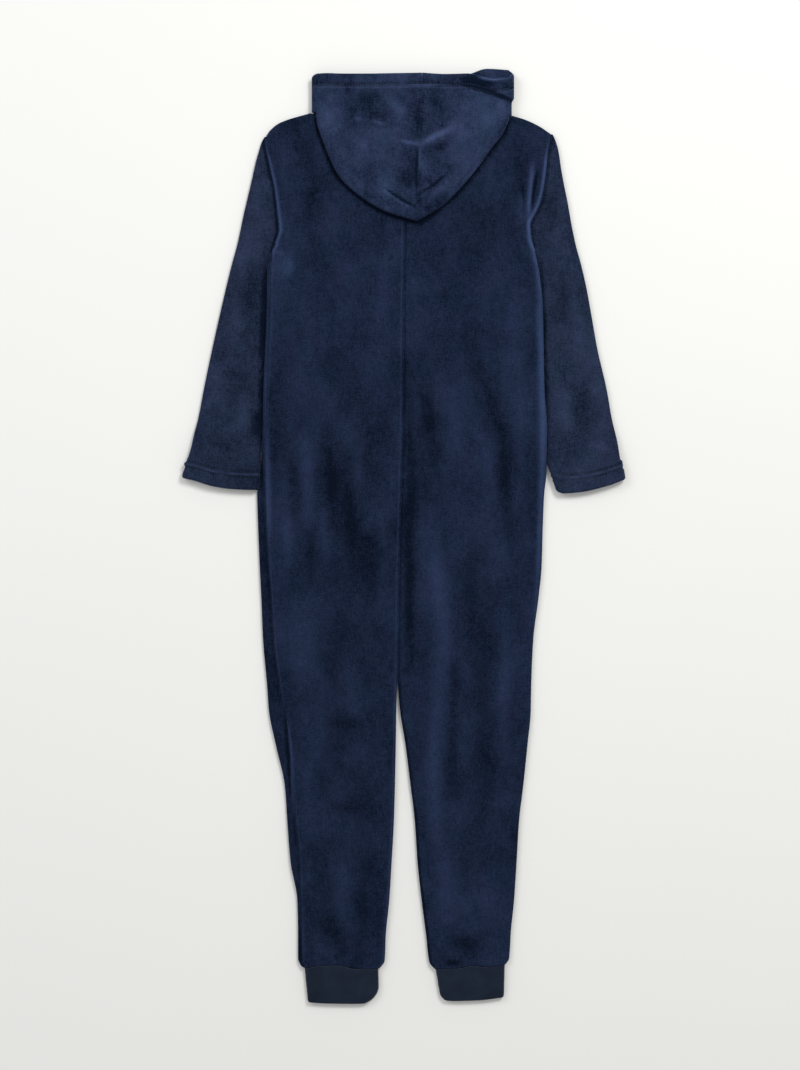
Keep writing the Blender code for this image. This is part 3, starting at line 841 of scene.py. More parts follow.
def wraps(side, layer):
    """Whether this panel is one of the two that come round the garment's edge."""
    return (side < 0) == (layer == "front")


def inner_end(side, layer, y):
    """Points at the centre seam or the zip, which bend round the inseam below the crotch."""
    half_gap = ZIP_HALF if layer == "front" and y >= ZIP_END else SEAM / 2
    level = unturned(at(CENTRE, "x", y) + side * half_gap, -side, LAYER / 2 * QUARTER_TURN)
    if y >= CROTCH + CLOSING:
        return level
    bent = turned(at(INSEAM, SIDES[side], y), -side, QUARTER_TURN, RISE[layer])
    return mixed(level, bent, ease((CROTCH + CLOSING - y) / CLOSING))


def outer_end(side, layer, y):
    """Where a panel's level run ends, and the points of the fold that follows it, if one does."""
    edge = at(BODY, SIDES[side], y)
    armhole = at(SLEEVE[side], "inner", y) - side * SEAM / 2
    left_seam = at(BODY, "left_seam", y)
    below = ease((ARMPIT - y) / ARMPIT_BLEND)
    if not wraps(side, layer):
        last = left_seam + SEAM / 2 if side < 0 else edge - EDGE - WRAP_UNDER - SEAM
        run_end = armhole if y > ARMPIT else mixed(edge - side * ARMPIT_NOTCH, last, below)
        return run_end, np.zeros((3, 0))
    if y > ARMPIT:
        level = unturned(armhole, side, RUN_MARGIN, 2 * FOLD_STEPS + WRAP_STEPS)
        return armhole - side * RUN_MARGIN, level
    arc = turned(edge, side, mixed(QUARTER_TURN, HALF_TURN, below), RISE[layer], 2 * FOLD_STEPS)
    last = left_seam - SEAM / 2 if side < 0 else edge - EDGE - WRAP_UNDER
    length = max(SHORTEST_WRAP, abs(last - arc[0, -1]) * below)
    wrap = np.tile(arc[:, -1:], WRAP_STEPS)
    wrap[0] -= side * length * np.linspace(0, 1, WRAP_STEPS + 1)[1:]
    return edge - side * EDGE, np.concatenate([arc, wrap], axis=1)


def panel_section(side, layer, y, shares):
    """One level section of a panel from the centre outwards: x, height change, lean, across."""
    inner = inner_end(side, layer, y)
    run_end, outer = outer_end(side, layer, y)
    run = inner[0, 0] + (run_end - inner[0, 0]) * shares[1:]
    if outer.shape[1]:
        run = run[:-1]
    flat_run = np.array([run, 0 * run, 0 * run])
    section = np.concatenate([inner[:, ::-1], flat_run, outer], axis=1)
    across = np.concatenate([np.full(inner.shape[1], -side), 0 * run, np.full(outer.shape[1], side)])
    return section, across


def layer_height(layer, x, y, share):
    """Height of a panel's middle. share is how far it has come round to the other layer."""
    own, other = (front_height, back_height) if layer == "front" else (back_height, front_height)
    return own(x, y) * (1 - share) + other(x, y) * share


print("back panels wrap: left", wraps(-1, "back"), "right", wraps(1, "back"))

# %% Panel rows
ANKLE_MARGIN = 6 * MM  # above the ankle seam, where the rows lie closer together
ANKLE_ROWS = 7


def neck_and_shoulder(side, layer, top_x):
    """The line along the top of a panel, and which of its points lie on the neck."""
    neck = FRONT_NECK if layer == "front" else BACK_NECK
    on_neck = (neck["x"][0] < top_x) & (top_x < neck["x"][-1])
    return np.where(on_neck, np.interp(top_x, neck["x"], neck["y"]), above(SHOULDER[side], top_x)), on_neck


def station_row(side, layer, y, shares):
    """One row of a panel at or below the armpit."""
    up = -1 if layer == "front" else 1
    section, across = panel_section(side, layer, y, shares)
    x, change, lean = section
    station = y - above(ANKLE_WAVE[side], x) * ease((ANKLE + WAVE_REACH - y) / WAVE_REACH)
    z = layer_height(layer, x, station, abs(change) / LAYER)
    facing = np.stack([across * np.sin(lean), 0 * x, up * np.cos(lean)], axis=1)
    return np.stack([x, station, z], axis=1), facing


def top_rows(side, layer, top_x):
    """Rows round the top seam, which curls down at a shoulder, up at the back neck, and not in front."""
    up = -1 if layer == "front" else 1
    line, on_neck = neck_and_shoulder(side, layer, top_x)
    flat = on_neck & (layer == "front")
    curls_up = on_neck & (layer == "back")
    rows = []
    for turn in np.linspace(QUARTER_TURN, 0, FOLD_STEPS + 1):
        y = line - EDGE + LAYER / 2 * math.sin(turn)
        y = np.where(flat, line - SEAM - (QUARTER_TURN - turn) * LAYER / 2, y)
        away = np.where(flat, 0, np.where(curls_up, -1, 1) * math.sin(turn))
        change = np.where(curls_up, 1, -up) * np.where(flat, 0, LAYER / 2 * (1 - math.cos(turn)))
        z = layer_height(layer, top_x, y, 0) + change
        steep = np.where(flat, 1, math.cos(turn))
        rows.append((np.stack([top_x, y, z], axis=1), np.stack([0 * y, away, up * steep], axis=1)))
    return rows


def panel_rows(side, layer, shares, row_step):
    """Every row of a panel: the top seam, down to the armpit, and on to the ankle."""
    up = -1 if layer == "front" else 1
    flat_x = panel_section(side, layer, ARMPIT + MM, shares)[0][0]
    share = (flat_x - flat_x[0]) / (flat_x[-1] - flat_x[0])
    tip_y = SHOULDER[side]["y"].min() - EDGE
    tip_x = at(SLEEVE[side], "inner", tip_y)
    centre_x = CENTRE["x"][0] + side * (ZIP_HALF if layer == "front" else SEAM / 2)
    top_x = centre_x + (tip_x - side * SEAM - centre_x) * share
    rows = top_rows(side, layer, top_x)
    level = rows[-1][0]
    closed_points, closed_facing = station_row(side, layer, ARMPIT, shares)
    for station in np.arange(tip_y - row_step, ARMPIT + row_step / 2, -row_step):
        fall = (tip_y - station) / (tip_y - ARMPIT)
        y = level[:, 1] + (ARMPIT - level[:, 1]) * fall
        outer = at(SLEEVE[side], "inner", station) - side * SEAM / 2
        x = (top_x[0] * (1 - fall) + flat_x[0] * fall) * (1 - share) + outer * share
        open_points = np.stack([x, y, layer_height(layer, x, y, 0)], axis=1)
        open_facing = np.tile([0.0, 0.0, up], (len(x), 1))
        shifted = closed_points + [0, 1, 0] * (y - ARMPIT)[:, None]
        closing = ease((ARMPIT + CLOSING - station) / CLOSING) * wraps(side, layer)
        rows.append((mixed(open_points, shifted, closing), mixed(open_facing, closed_facing, closing)))
    down = np.arange(ARMPIT, ANKLE + ANKLE_MARGIN, -row_step)
    for station in np.concatenate([down, np.linspace(ANKLE + ANKLE_MARGIN, ANKLE, ANKLE_ROWS)]):
        rows.append(station_row(side, layer, station, shares))
    return rows


print("points across a left front panel:", len(station_row(-1, "front", ARMPIT, spread_out(34))[0]))

# %% Nap and seams of the panels
SEAM_PAINTED_LIGHT = {  # painted highlight, or painted shade where negative, beside the centre seam and the side seam or armhole
    ("back", -1): (2.0, 2.1),
    ("back", 1): (-1.8, 2.8),
    ("front", -1): (0.3, -1.6),
    ("front", 1): (0.3, 0.3),
}
ARMHOLE_TOP = 476 * MM
ARMHOLE_FADE = 20 * MM
ROLL_FADE = 30 * MM


def back_nap(x, y):
    """Painted light and shade of the back panels' pile, with a painted shadow along the hood's outline."""
    return nap_strokes(BACK_PAINTED_LIGHT, x, y) - 1.4 * painted_hood_shadow(x, y)


def front_nap(x, y):
    """The same painted strokes on the front panels, a little darker: painted shade for pile that leans the
    other way.
    """
    return back_nap(x, y) - 0.3


def armhole_roll(y):
    """How far the edge beside the armhole is rolled: not at all below it."""
    return above_armpit(y, ARMHOLE_FADE) * ease((ARMHOLE_TOP - y) / ROLL_FADE)


def inseam_roll(y):
    """How far the edge is rolled beside the centre seam, and beside the inseam below the crotch."""
    return 0.1 + 0.12 * ease((CROTCH - y) / ROLL_FADE + 1)


print("the armhole's edge is rolled by", round(float(armhole_roll(400 * MM)), 2), "at its middle")

# %% The four panels
PANEL_GRIDS = {"back": (66, 2.8 * MM, back_nap), "front": (34, 4.2 * MM, front_nap)}
for side, side_name in SIDES.items():
    for layer, (columns, row_step, nap) in PANEL_GRIDS.items():
        rows = panel_rows(side, layer, spread_out(columns), row_step)
        name = f"{layer}_panel_{side_name}"
        centre_light, side_light = SEAM_PAINTED_LIGHT[layer, side]
        seams = [(1, "first", inseam_roll, centre_light), (1, "last", armhole_roll, side_light)]
        # a faint painted highlight and shade along the ankle seam
        seams.append((0, "last", 0, 0.3))
        made[name] = sheet(name, rows, FLEECE, seams, nap)

# %% [markdown]
# ## Sleeves
#
# A sleeve is cut as one piece, folded along its outer edge and closed by the underarm seam.
# Its hem is turned in and held by two rows of stitches, which press two narrow grooves into
# the pile. The sections go from the back of the armhole seam over the top, round the outer
# fold and back beneath. Close to the hem they lie nearer together, so that the grooves are
# real troughs in the mesh.

# %% Folds of the sleeves
SLEEVE_FOLDS = {
    -1: table(
        FOLD_COLUMNS,
        (-176, 430, -176, 300, 7, 0.9, 3),
        (-162, 400, -178, 250, 5, -0.6, 2),
        (-205, 300, -186, 180, 11, 1.0, -3),
        (-228, 190, -190, 160, 8, 1.0, 3),
        (-236, 128, -186, 112, 7, 1.3, -3),
        (-226, 108, -194, 128, 5, -0.8, 2),
        (-250, 112, -222, 92, 6, 1.0, 2),
    ),
    1: table(
        FOLD_COLUMNS,
        (182, 430, 186, 300, 7, 0.8, -3),
        (164, 360, 186, 230, 6, -0.6, -2),
        (214, 300, 200, 170, 11, 1.0, 3),
        (178, 190, 192, 104, 5, 1.5, -3),
        (188, 176, 204, 110, 5, -0.8, -2),
        (206, 132, 244, 112, 7, 1.0, 3),
        (252, 128, 226, 100, 6, 1.1, 2),
    ),
}
SLEEVE_UNEVEN = ((0.3 * MM, 26 * MM, 7), (0.2 * MM, 12 * MM, 8))  # height, size and seed
print("sleeve folds:", len(SLEEVE_FOLDS[-1]["top"]), "and", len(SLEEVE_FOLDS[1]["top"]))

# %% Grooves below the stitches
HEM_ROWS = (15 * MM, 21.6 * MM)  # from the folded edge up to each row of stitches
GROOVE = 0.55 * MM
GROOVE_REACH = 1.1 * MM
BESIDE_GROOVE = 3 * MM  # where the cloth stands a little proud
PROUD_REACH = 1.4 * MM
SHOWN_EASE = 9 * MM


def grooves(far, rows):
    """Depth of the grooves that rows of stitches press in, at a distance from the edge."""
    depth = np.zeros_like(far)
    for row in rows:
        depth = depth + GROOVE * bell(far - row, GROOVE_REACH)
        depth = depth - GROOVE / 3 * bell(abs(far - row) - BESIDE_GROOVE, PROUD_REACH)
    return depth


def stitched(far, rows, reach=1.2 * MM):
    """1 on rows of stitches at those distances from an edge, easing to 0 beside them."""
    return sum(bell(far - row, reach) for row in rows)


def beside_body(side, x, y):
    """1 on the part of a sleeve that shows, easing to 0 at the body's edge."""
    edge = np.where(y < ARMPIT, at(BODY, SIDES[side], y), at(SLEEVE[side], "inner", y))
    return ease((side * (x - edge) + MM) / SHOWN_EASE)


print("a groove is", round(float(grooves(np.zeros(1), [0])[0]) * 1000, 2), "mm deep")

# %% Sleeve sections
SLEEVE_SHARES = spread_out(36)
END_STEPS = 5
SLEEVE_STEP = 2.8 * MM  # between rows, down to the hem
HEM_ZONE = 28 * MM  # height of the part at the hem that has finer rows
FINE_STEP = 0.75 * MM
TURNED_ROWS = 8  # on the hem's turned layer


def sleeve_section(side, y, inset=0.0, turn=0.0):
    """One section of a sleeve, from the back seam round the outer fold to the front seam."""
    reach = LAYER + (HEM_HEIGHT - LAYER) * ease((HEM_RISE[0] - y) / (HEM_RISE[0] - HEM_RISE[1]))
    low = LOW + inset
    high = LOW + reach - inset
    outer_x = at(SLEEVE[side], "outer", y) - side * inset
    inner_x = at(SLEEVE[side], "inner", y) + side * inset
    quarter = math.pi / 2 - SEAM / (high - low)
    margin = min(RUN_MARGIN, abs(outer_x - inner_x)) / 4
    end = turned(inner_x, -side, quarter, high - low, END_STEPS)
    open_end = unturned(inner_x + side * SEAM / 2, -side, margin, END_STEPS)
    end = mixed(open_end, end, ease((ARMPIT + CLOSING - y) / CLOSING))
    fold_x, fold_z, fold_lean = turned(outer_x, side, HALF_TURN, high - low, 2 * FOLD_STEPS)
    end_x, end_z, end_lean = end
    run = end_x[0] + (fold_x[0] - end_x[0]) * SLEEVE_SHARES[1:-1]
    x = np.concatenate([end_x[::-1], run, fold_x, run[::-1], end_x])
    z = np.concatenate([high - end_z[::-1], high + 0 * run, high - fold_z, low + 0 * run, low + end_z])
    lean = np.concatenate([-end_lean[::-1], 0 * run, fold_lean, HALF_TURN + 0 * run, HALF_TURN + end_lean])
    slant = np.interp(y, [HEM_RISE[1], HEM_RISE[0]], [1, 0])
    station = y + slant * (above(HEM_LINE[side], x) - HEM_MIDDLE)
    upper = ease((1 + np.cos(lean)) / 2) * (1 - inset / HEM_STEP)
    relief = folds(x, station, SLEEVE_FOLDS[side]) + uneven(x, station, SLEEVE_UNEVEN)
    z = z + relief * upper * beside_body(side, x, station)
    facing = np.stack([side * np.sin(lean), 0 * x, np.cos(lean)], axis=1) * math.cos(turn)
    facing[:, 1] = -math.sin(turn)
    points = np.stack([x, station, z], axis=1)
    if turn == 0:
        stitch_groove = grooves(np.full_like(x, y - HEM_MIDDLE), HEM_ROWS)
        points = points - facing * stitch_groove[:, None]
    return points, facing


def sleeve_rows(side):
    """Down the sleeve to the hem, closer together on it, round its fold and up inside."""
    long = np.arange(SLEEVE_TIP[side], HEM_MIDDLE + HEM_ZONE, -SLEEVE_STEP)
    radius = HEM_STEP / 2
    start = HEM_MIDDLE + FLEECE / 2 + radius
    hem = np.arange(long[-1] - MM, start + 0.4 * MM, -FINE_STEP)
    rows = [sleeve_section(side, y) for y in np.concatenate([long, hem])]
    for turn in np.linspace(0, HALF_TURN, FOLD_STEPS + 1):
        inset = radius * (1 - math.cos(turn))
        rows.append(sleeve_section(side, start - radius * math.sin(turn), inset, turn))
    for y in np.linspace(start, HEM_MIDDLE + SLEEVE_HEM, TURNED_ROWS)[1:]:
        rows.append(sleeve_section(side, y, HEM_STEP, HALF_TURN))
    return rows


print("points round a sleeve:", len(sleeve_section(-1, ARMPIT)[0]))

# %% The two sleeves
ARMHOLE_SHADE = {-1: 1.0, 1: 0.4}  # how dark the painted shadow is on a sleeve along the armhole
ARMHOLE_REACH = 3 * MM


def sleeve_nap(side, x, y):
    """Painted light and shade of the pile: the strokes, a painted shadow along the armhole, and along the
    hem painted shade in the stitch grooves with a painted highlight between them.
    """
    far = y - above(HEM_LINE[side], x)
    away = x - at(SLEEVE[side], "inner", y)
    # painted shadow on the sleeve beside the armhole
    armhole_shadow = bell(away, ARMHOLE_REACH) * above_armpit(y, ARMHOLE_FADE)
    patchiness = 0.6 + 0.6 * cloud(x, y, 9 * MM, 40)
    # painted shade in the stitch grooves, and a painted highlight on the ridge between them
    stitch_groove = 0.8 * patchiness * stitched(far, HEM_ROWS, MM)
    ridge_highlight = 0.6 * patchiness * stitched(far, [sum(HEM_ROWS) / 2], PROUD_REACH)
    painted_strokes = nap_strokes(SLEEVE_PAINTED_LIGHT[side], x, y)
    return painted_strokes + ridge_highlight - stitch_groove - ARMHOLE_SHADE[side] * armhole_shadow


for side, side_name in SIDES.items():
    name = f"sleeve_shell_{side_name}"
    # painted shade beside each sleeve's back seam
    seams = [(1, "first", 0, -1), (1, "last", 0, 0)]
    made[name] = sheet(name, sleeve_rows(side), FLEECE, seams, functools.partial(sleeve_nap, side))

# %% [markdown]
# ## Hood
#
# The hood is two mirrored halves, sewn together over the head and along the back of it, with
# a turned hem round the face. Thrown back, it lies flat on the shoulders: its top layer folds
# under along a rounded V and comes back beneath to the neck seam. Lines that run from the rim
# over the top layer, round the fold and back to the neck make one sheet for each half, and
# the same lines carry on round the side of the neck to the part in front, whose rim peeks out
# behind the near one at the right.

# %% Folds of the hood
HOOD_FOLDS = table(
    FOLD_COLUMNS,
    (-30, 474, 30, 470, 6, 1.6, -3),
    (18, 470, 84, 496, 7, 1.8, 4),
    (-34, 452, 50, 452, 10, -0.9, -4),
    (-22, 422, 15, 394, 3.5, -1.3, -2),
    (-24, 430, 12, 404, 5, 1.0, -2),
    (20, 408, 50, 436, 3.5, -1.3, -3),
    (24, 404, 54, 428, 5, 1.1, -3),
    (62, 543, 128, 517, 4, -2.0, 4),
    (66, 533, 126, 508, 6, 1.0, 4),
    (-96, 540, -96, 470, 9, 0.9, 0),
    (-70, 520, -30, 500, 10, 0.8, 4),
    (-60, 470, -20, 440, 10, 0.8, 3),
    (60, 505, 100, 470, 10, 0.9, -3),
    (-12, 520, -8, 480, 8, -0.7, 0),
)
HOOD_UNEVEN = ((0.4 * MM, 22 * MM, 11), (0.25 * MM, 10 * MM, 12))  # height, size and seed
HOOD_DEEPEST = 1.8 * MM
RIM_ROWS = (12.6 * MM, 16.8 * MM)  # from the rim to each row of stitches
RIM_CURL = table("x up", (-110, 0.6), (-60, 0.2), (0, 0.4), (60, 0.4), (92, 1.6), (112, 3.0), (130, 3.4))
RIM_REACH = 11 * MM
TIP_PUFF = 0.9 * MM
TIP_PLACE = 9 * MM
TIP_REACH = 7 * MM


def hood_relief(points, from_rim, to_tip):
    """Height to add to the hood's top layer."""
    x, y = points[:, 0], points[:, 1]
    relief = folds(x, y, HOOD_FOLDS) + uneven(x, y, HOOD_UNEVEN)
    relief = relief + TIP_PUFF * bell(to_tip - TIP_PLACE, TIP_REACH)
    curl = above(RIM_CURL, x) * bell(from_rim, RIM_REACH)
    return np.maximum(relief, -HOOD_DEEPEST) * ease(to_tip / (6 * MM)) + curl - grooves(from_rim, RIM_ROWS)


print("hood folds:", len(HOOD_FOLDS["top"]))

# %% Lines of the hood
HEM_POINTS = 8  # on the turned layer of the rim's hem
NEAR_RIM = np.linspace(0, 0.15, 28)
RUN_FAR = np.concatenate([NEAR_RIM[:-1], np.linspace(0.15, 0.9, 60)[:-1], np.linspace(0.9, 1, 10)])
UNDER_POINTS = 26
SPARE_SHARE = 0.2  # of an unfolded line's last step, where its spare points lie
UP = np.array([0, 0, 1])


def hood_layer(origin, ahead, inside, last):
    """The turned rim hem, the fold at the rim, and the layer as far as the last place."""
    radius = HEM_STEP / 2
    start = FLEECE / 2 + radius
    turn = np.linspace(HALF_TURN, 0, 2 * FOLD_STEPS + 1)[:, None]
    hem_far = np.linspace(RIM_HEM, start, HEM_POINTS + 1)[:-1, None]
    hem = origin + ahead * hem_far + inside * HEM_STEP
    rim_facing = -ahead * np.sin(turn) - inside * np.cos(turn)
    rim_turn = origin + ahead * start + inside * radius + rim_facing * radius
    far = start + (last - start) * RUN_FAR[1:]
    run = origin + ahead * far[:, None]
    points = np.concatenate([hem, rim_turn, run])
    facing = np.concatenate([np.tile(inside, (HEM_POINTS, 1)), rim_facing, np.tile(-inside, (len(run), 1))])
    from_rim = np.concatenate([hem_far[:, 0], np.full(len(turn), start), far])
    shown = np.concatenate([np.zeros(HEM_POINTS), ease((1 + np.cos(turn[:, 0])) / 2), np.ones(len(run))])
    points[:, 2] += hood_relief(points, from_rim, last - from_rim) * shown * max(0, -inside[2])
    return points, facing


def hood_return(under, ahead, foot):
    """Round the fold at the hood's tip, back beneath the layer, and down to the neck seam."""
    turn = np.linspace(0, HALF_TURN, 2 * FOLD_STEPS + 1)[1:, None]
    tip_facing = ahead * np.sin(turn) + UP * np.cos(turn)
    tip_turn = under + UP * LAYER / 2 + tip_facing * LAYER / 2
    back = np.array([*foot, under[2]]) - under
    span = np.linalg.norm(back) - EDGE
    back /= span + EDGE
    below = under + back * span * np.linspace(0, 1, UNDER_POINTS + 1)[1:, None]
    below_facing = np.tile(-UP, (UNDER_POINTS, 1))
    turn = np.linspace(0, QUARTER_TURN, FOLD_STEPS + 1)[1:, None]
    neck_facing = -back * np.sin(turn) - UP * np.cos(turn)
    neck_turn = under + back * span - UP * LAYER / 2 - neck_facing * LAYER / 2
    points = np.concatenate([tip_turn, below, neck_turn])
    return points, np.concatenate([tip_facing, below_facing, neck_facing])


def hood_column(rim, foot, height, inward, tip=None):
    """One line of a hood half: the turned rim hem, the layer, and what is below it.

    inward is the (x, z) direction to the inside. With a tip the line folds there and
    comes back beneath to its foot on the neck seam. Without one it ends at its foot.
    """
    end = foot if tip is None else tip
    length = math.dist(rim, end)
    ahead = np.array([*(np.array(end) - rim) / length, 0])
    inside = np.array([inward[0], 0, inward[1]])
    origin = np.array([*rim, height])
    last = length if tip is None else length - EDGE
    points, facing = hood_layer(origin, ahead, inside, last)
    if tip is None:
        spare = UNDER_POINTS + 3 * FOLD_STEPS + 1
        part = np.linspace(0, 1, spare + 1)[1:, None] * SPARE_SHARE
        rest = points[-2] + (points[-1] - points[-2]) * (1 - SPARE_SHARE + part)
        rest_facing = np.tile(-inside, (spare, 1))
        points, facing = points[:-1], facing[:-1]
    else:
        rest, rest_facing = hood_return(origin + ahead * last - UP * LAYER, ahead, foot)
    return np.concatenate([points, rest]), np.concatenate([facing, rest_facing])


print("points on a hood line:", HEM_POINTS + len(RUN_FAR) + UNDER_POINTS + 5 * FOLD_STEPS)

# %% Columns of the hood
TOP_LINES = 64
TOP_GATHER = 1.25  # above 1, the lines lie closer together at the centre seam
SIDE_LINES = 11
FRONT_LINES = 34
BAND_OUT = {-1: 0, 1: 2.8 * MM}  # how far the turned rim stands out past the hood's side
BAND_START = 96 * MM
BAND_WIDTH = 30 * MM
BAND_FOOT = 519 * MM
BAND_EASE = 7 * MM


def between(rows, count, gather):
    """Rows of a table at closer places, on smooth curves through its own rows."""
    known = np.arange(len(rows["rim_x"]), dtype=float)
    place = np.linspace(0, 1, count) ** gather * known[-1]
    return zip(*[curve(place, known, column) for column in rows.values()])


def hood_columns(side):
    """Lines of a hood half: over the top, round the neck's side, and to the centre front."""
    columns = []
    for rim_x, rim_y, tip_x, tip_y, neck_x in between(HOOD[side], TOP_LINES, TOP_GATHER):
        foot = (neck_x, np.interp(neck_x, BACK_NECK["x"], BACK_NECK["y"]))
        columns.append(hood_column((rim_x, rim_y), foot, HOOD_TOP, (0, -1), (tip_x, tip_y)))
    radius = (HOOD_TOP - LOW) / 2
    centre_x = WRAP_SIDE[side] - side * (FLEECE / 2 + radius)
    first, last = HOOD[side]["rim_y"][-1], HOOD_FRONT[side]["rim_y"][0]
    neck_y = np.interp(WRAP_SIDE[side], FRONT_NECK["x"], FRONT_NECK["y"]) + 2 * SEAM
    for share in np.linspace(0, 1, SIDE_LINES + 2)[1:-1]:
        angle = math.pi * share
        out = math.sin(angle)
        x = centre_x + side * radius * out
        height = LOW + radius * (1 + math.cos(angle))
        rim = (x, first + (last - first) * share)
        columns.append(hood_column(rim, (x, neck_y), height, (-side * out, -math.cos(angle))))
    for rim_x, rim_y, neck_x in between(HOOD_FRONT[side], FRONT_LINES, 1):
        foot = (neck_x, np.interp(neck_x, FRONT_NECK["x"], FRONT_NECK["y"]) + SEAM)
        columns.append(hood_column((rim_x, rim_y), foot, LOW, (0, 1)))
    for points, _ in columns:
        near_side = ease((side * points[:, 0] - BAND_START) / BAND_WIDTH)
        points[:, 0] += side * BAND_OUT[side] * near_side * ease((points[:, 1] - BAND_FOOT) / BAND_EASE)
    return columns


print("lines of a hood half:", TOP_LINES + SIDE_LINES + FRONT_LINES)

# %% The two halves of the hood
BAND_MIDDLE = RIM_HEM / 2
BAND_REACH = 9 * MM


def hood_nap(side, x, y):
    """Painted light and shade of the pile: the strokes, a duller rim band, painted shade along the first
    row of stitches, and a lighter line along the second.
    """
    far = curve(x, HOOD[side]["rim_x"], HOOD[side]["rim_y"]) - y
    # painted shade along the first row of stitches
    shaded_row, second_row = [stitched(far, [row]) for row in RIM_ROWS]
    band = ease(1 - abs(far - BAND_MIDDLE) / BAND_REACH)
    return nap_strokes(HOOD_PAINTED_LIGHT, x, y) - 0.6 * shaded_row + 0.5 * second_row - 0.35 * band


for side, side_name in SIDES.items():
    name = f"hood_shell_{side_name}"
    # painted shade beside the hood's centre seam
    seams = [(0, "first", 0, -1.2), (0, "last", 0, 0), (1, "last", 0, 0)]
    made[name] = sheet(name, hood_columns(side), FLEECE, seams, functools.partial(hood_nap, side))

# %% [markdown]
# ## Rib cuffs
#
# Each ankle ends in a doubled tube of rib knit, folded at the bottom. The ribs are real
# ridges: the middle of the knit moves in and out by a fraction of a millimetre round the
# tube, a rib every few millimetres.

# %% Sections of a cuff
RIB_END = 44 * MM  # depth of the cuffs
CUFF_GAP = 0.4 * MM  # between the two layers of a cuff's wall
CUFF_HEIGHT = 4 * RIB + 2 * CUFF_GAP + 0.6 * MM
RIB_PITCH = 2.6 * MM
RIB_SWING = 0.22 * MM
CUFF_COLUMNS = 430
OUTER_ROWS = 22
INNER_ROWS = 9
WAVE_FADE = 1.2  # above 1, the ankle seam's wave is gone before the lower edge
CUFF_RISE = {  # how far the cuff's lower edge has come up
    -1: table("x up", (-116, 2), (-90, 0.4), (-60, 0), (-30, 1)),
    1: table("x up", (44, 4.6), (62, 3.4), (90, 4.2), (121, 8)),
}


def cuff_section(side, left, right, y, inset, turn, wave):
    """One section of a cuff, from its right edge over the top and round beneath."""
    low = RIB / 2 + inset
    high = CUFF_HEIGHT - low
    radius = (high - low) / 2
    edge = RIB / 2 + inset + radius
    width = right - left - 2 * edge
    girth = 2 * width + 2 * math.pi * radius
    far = np.linspace(0, girth - SEAM, CUFF_COLUMNS)
    bend = math.pi * radius
    part = np.array([0, bend / 2, bend / 2 + width, 3 * bend / 2 + width, 3 * bend / 2 + 2 * width, girth])
    lean = np.interp(far, part, [math.pi / 2, 0, 0, -HALF_TURN, -HALF_TURN, -1.5 * HALF_TURN])
    near, away = left + edge, right - edge
    centre = np.interp(far, part, [away, away, near, near, away, away])
    facing = np.stack([np.sin(lean), 0 * lean, np.cos(lean)], axis=1)
    swing = RIB_SWING * np.cos(2 * math.pi * round(girth / RIB_PITCH) * far / girth)
    station = y - wave * above(ANKLE_WAVE[side], centre) + (1 - wave) * above(CUFF_RISE[side], centre)
    points = np.stack([centre, station, np.full_like(centre, low + radius)], axis=1)
    points += facing * (radius + swing[:, None])
    facing *= math.cos(turn)
    facing[:, 1] = -math.sin(turn)
    return points, facing


def round_corner(down, radius):
    """How far a rounded lower corner has come in, at a share of the way down."""
    inside = np.clip((down - 1) * RIB_END / radius + 1, 0, 1)
    return radius * (1 - math.sqrt(1 - inside * inside))


def cuff_rows(side, left, right, left_slope, right_slope, corners):
    """Down the outside, round the folded edge and up inside."""
    top = ANKLE - SEAM
    radius = (RIB + CUFF_GAP) / 2
    start = top - RIB_END + RIB / 2 + radius
    path = [(y, 0, 0) for y in np.linspace(top, start, OUTER_ROWS)[:-1]]
    for turn in np.linspace(0, HALF_TURN, FOLD_STEPS + 1):
        path.append((start - radius * math.sin(turn), radius * (1 - math.cos(turn)), turn))
    path += [(y, 2 * radius, HALF_TURN) for y in np.linspace(start, top, INNER_ROWS)[1:]]
    rows = []
    for y, inset, turn in path:
        down = (top - y) / RIB_END
        near = left + left_slope * down + round_corner(down, corners[0])
        far = right + right_slope * down - round_corner(down, corners[1])
        rows.append(cuff_section(side, near, far, y, inset, turn, max(0, 1 - WAVE_FADE * down)))
    return rows


print("a cuff is", round(CUFF_HEIGHT * 1000, 1), "mm high where it lies flat")

# %% The two cuffs
CUFFS = {  # both edges at the top, their slopes, and the radii of the two lower corners
    -1: (-118 * MM, -30 * MM, 4 * MM, MM, (2.5 * MM, 22 * MM)),
    1: (39 * MM, 121.5 * MM, 6 * MM, -MM, (9 * MM, 3 * MM)),
}
for side, side_name in SIDES.items():
    name = f"cuff_knit_{side_name}"
    made[name] = sheet(name, cuff_rows(side, *CUFFS[side]), RIB)

# %% [markdown]
# ## Rows of stitches
#
# Two rows of thread hold each turned hem down. One stitch is a small stretched ball, six
# points round and four long, laid along its row and sunk half into the groove that it presses.
# A few hundred of them are one joined mesh for each hem, because nobody ever moves a single
# stitch. Each row is walked by length, so that the stitches keep one pitch round every curve.

# %% A row of stitches
STITCH_PITCH = 3.4 * MM
STITCH_SIZE = (2.5 * MM, 0.62 * MM, 0.5 * MM)  # along the row, across it, and out of the cloth
STITCH_SUNK = 0.05 * MM


def walked(points, values, pitch):
    """The values at stops of one pitch along a line of points."""
    length = np.concatenate([[0], np.cumsum(np.linalg.norm(np.diff(points, axis=0), axis=1))])
    stops = np.arange(pitch / 2, length[-1], pitch)
    return np.array([np.interp(stops, length, column) for column in values.T]).T


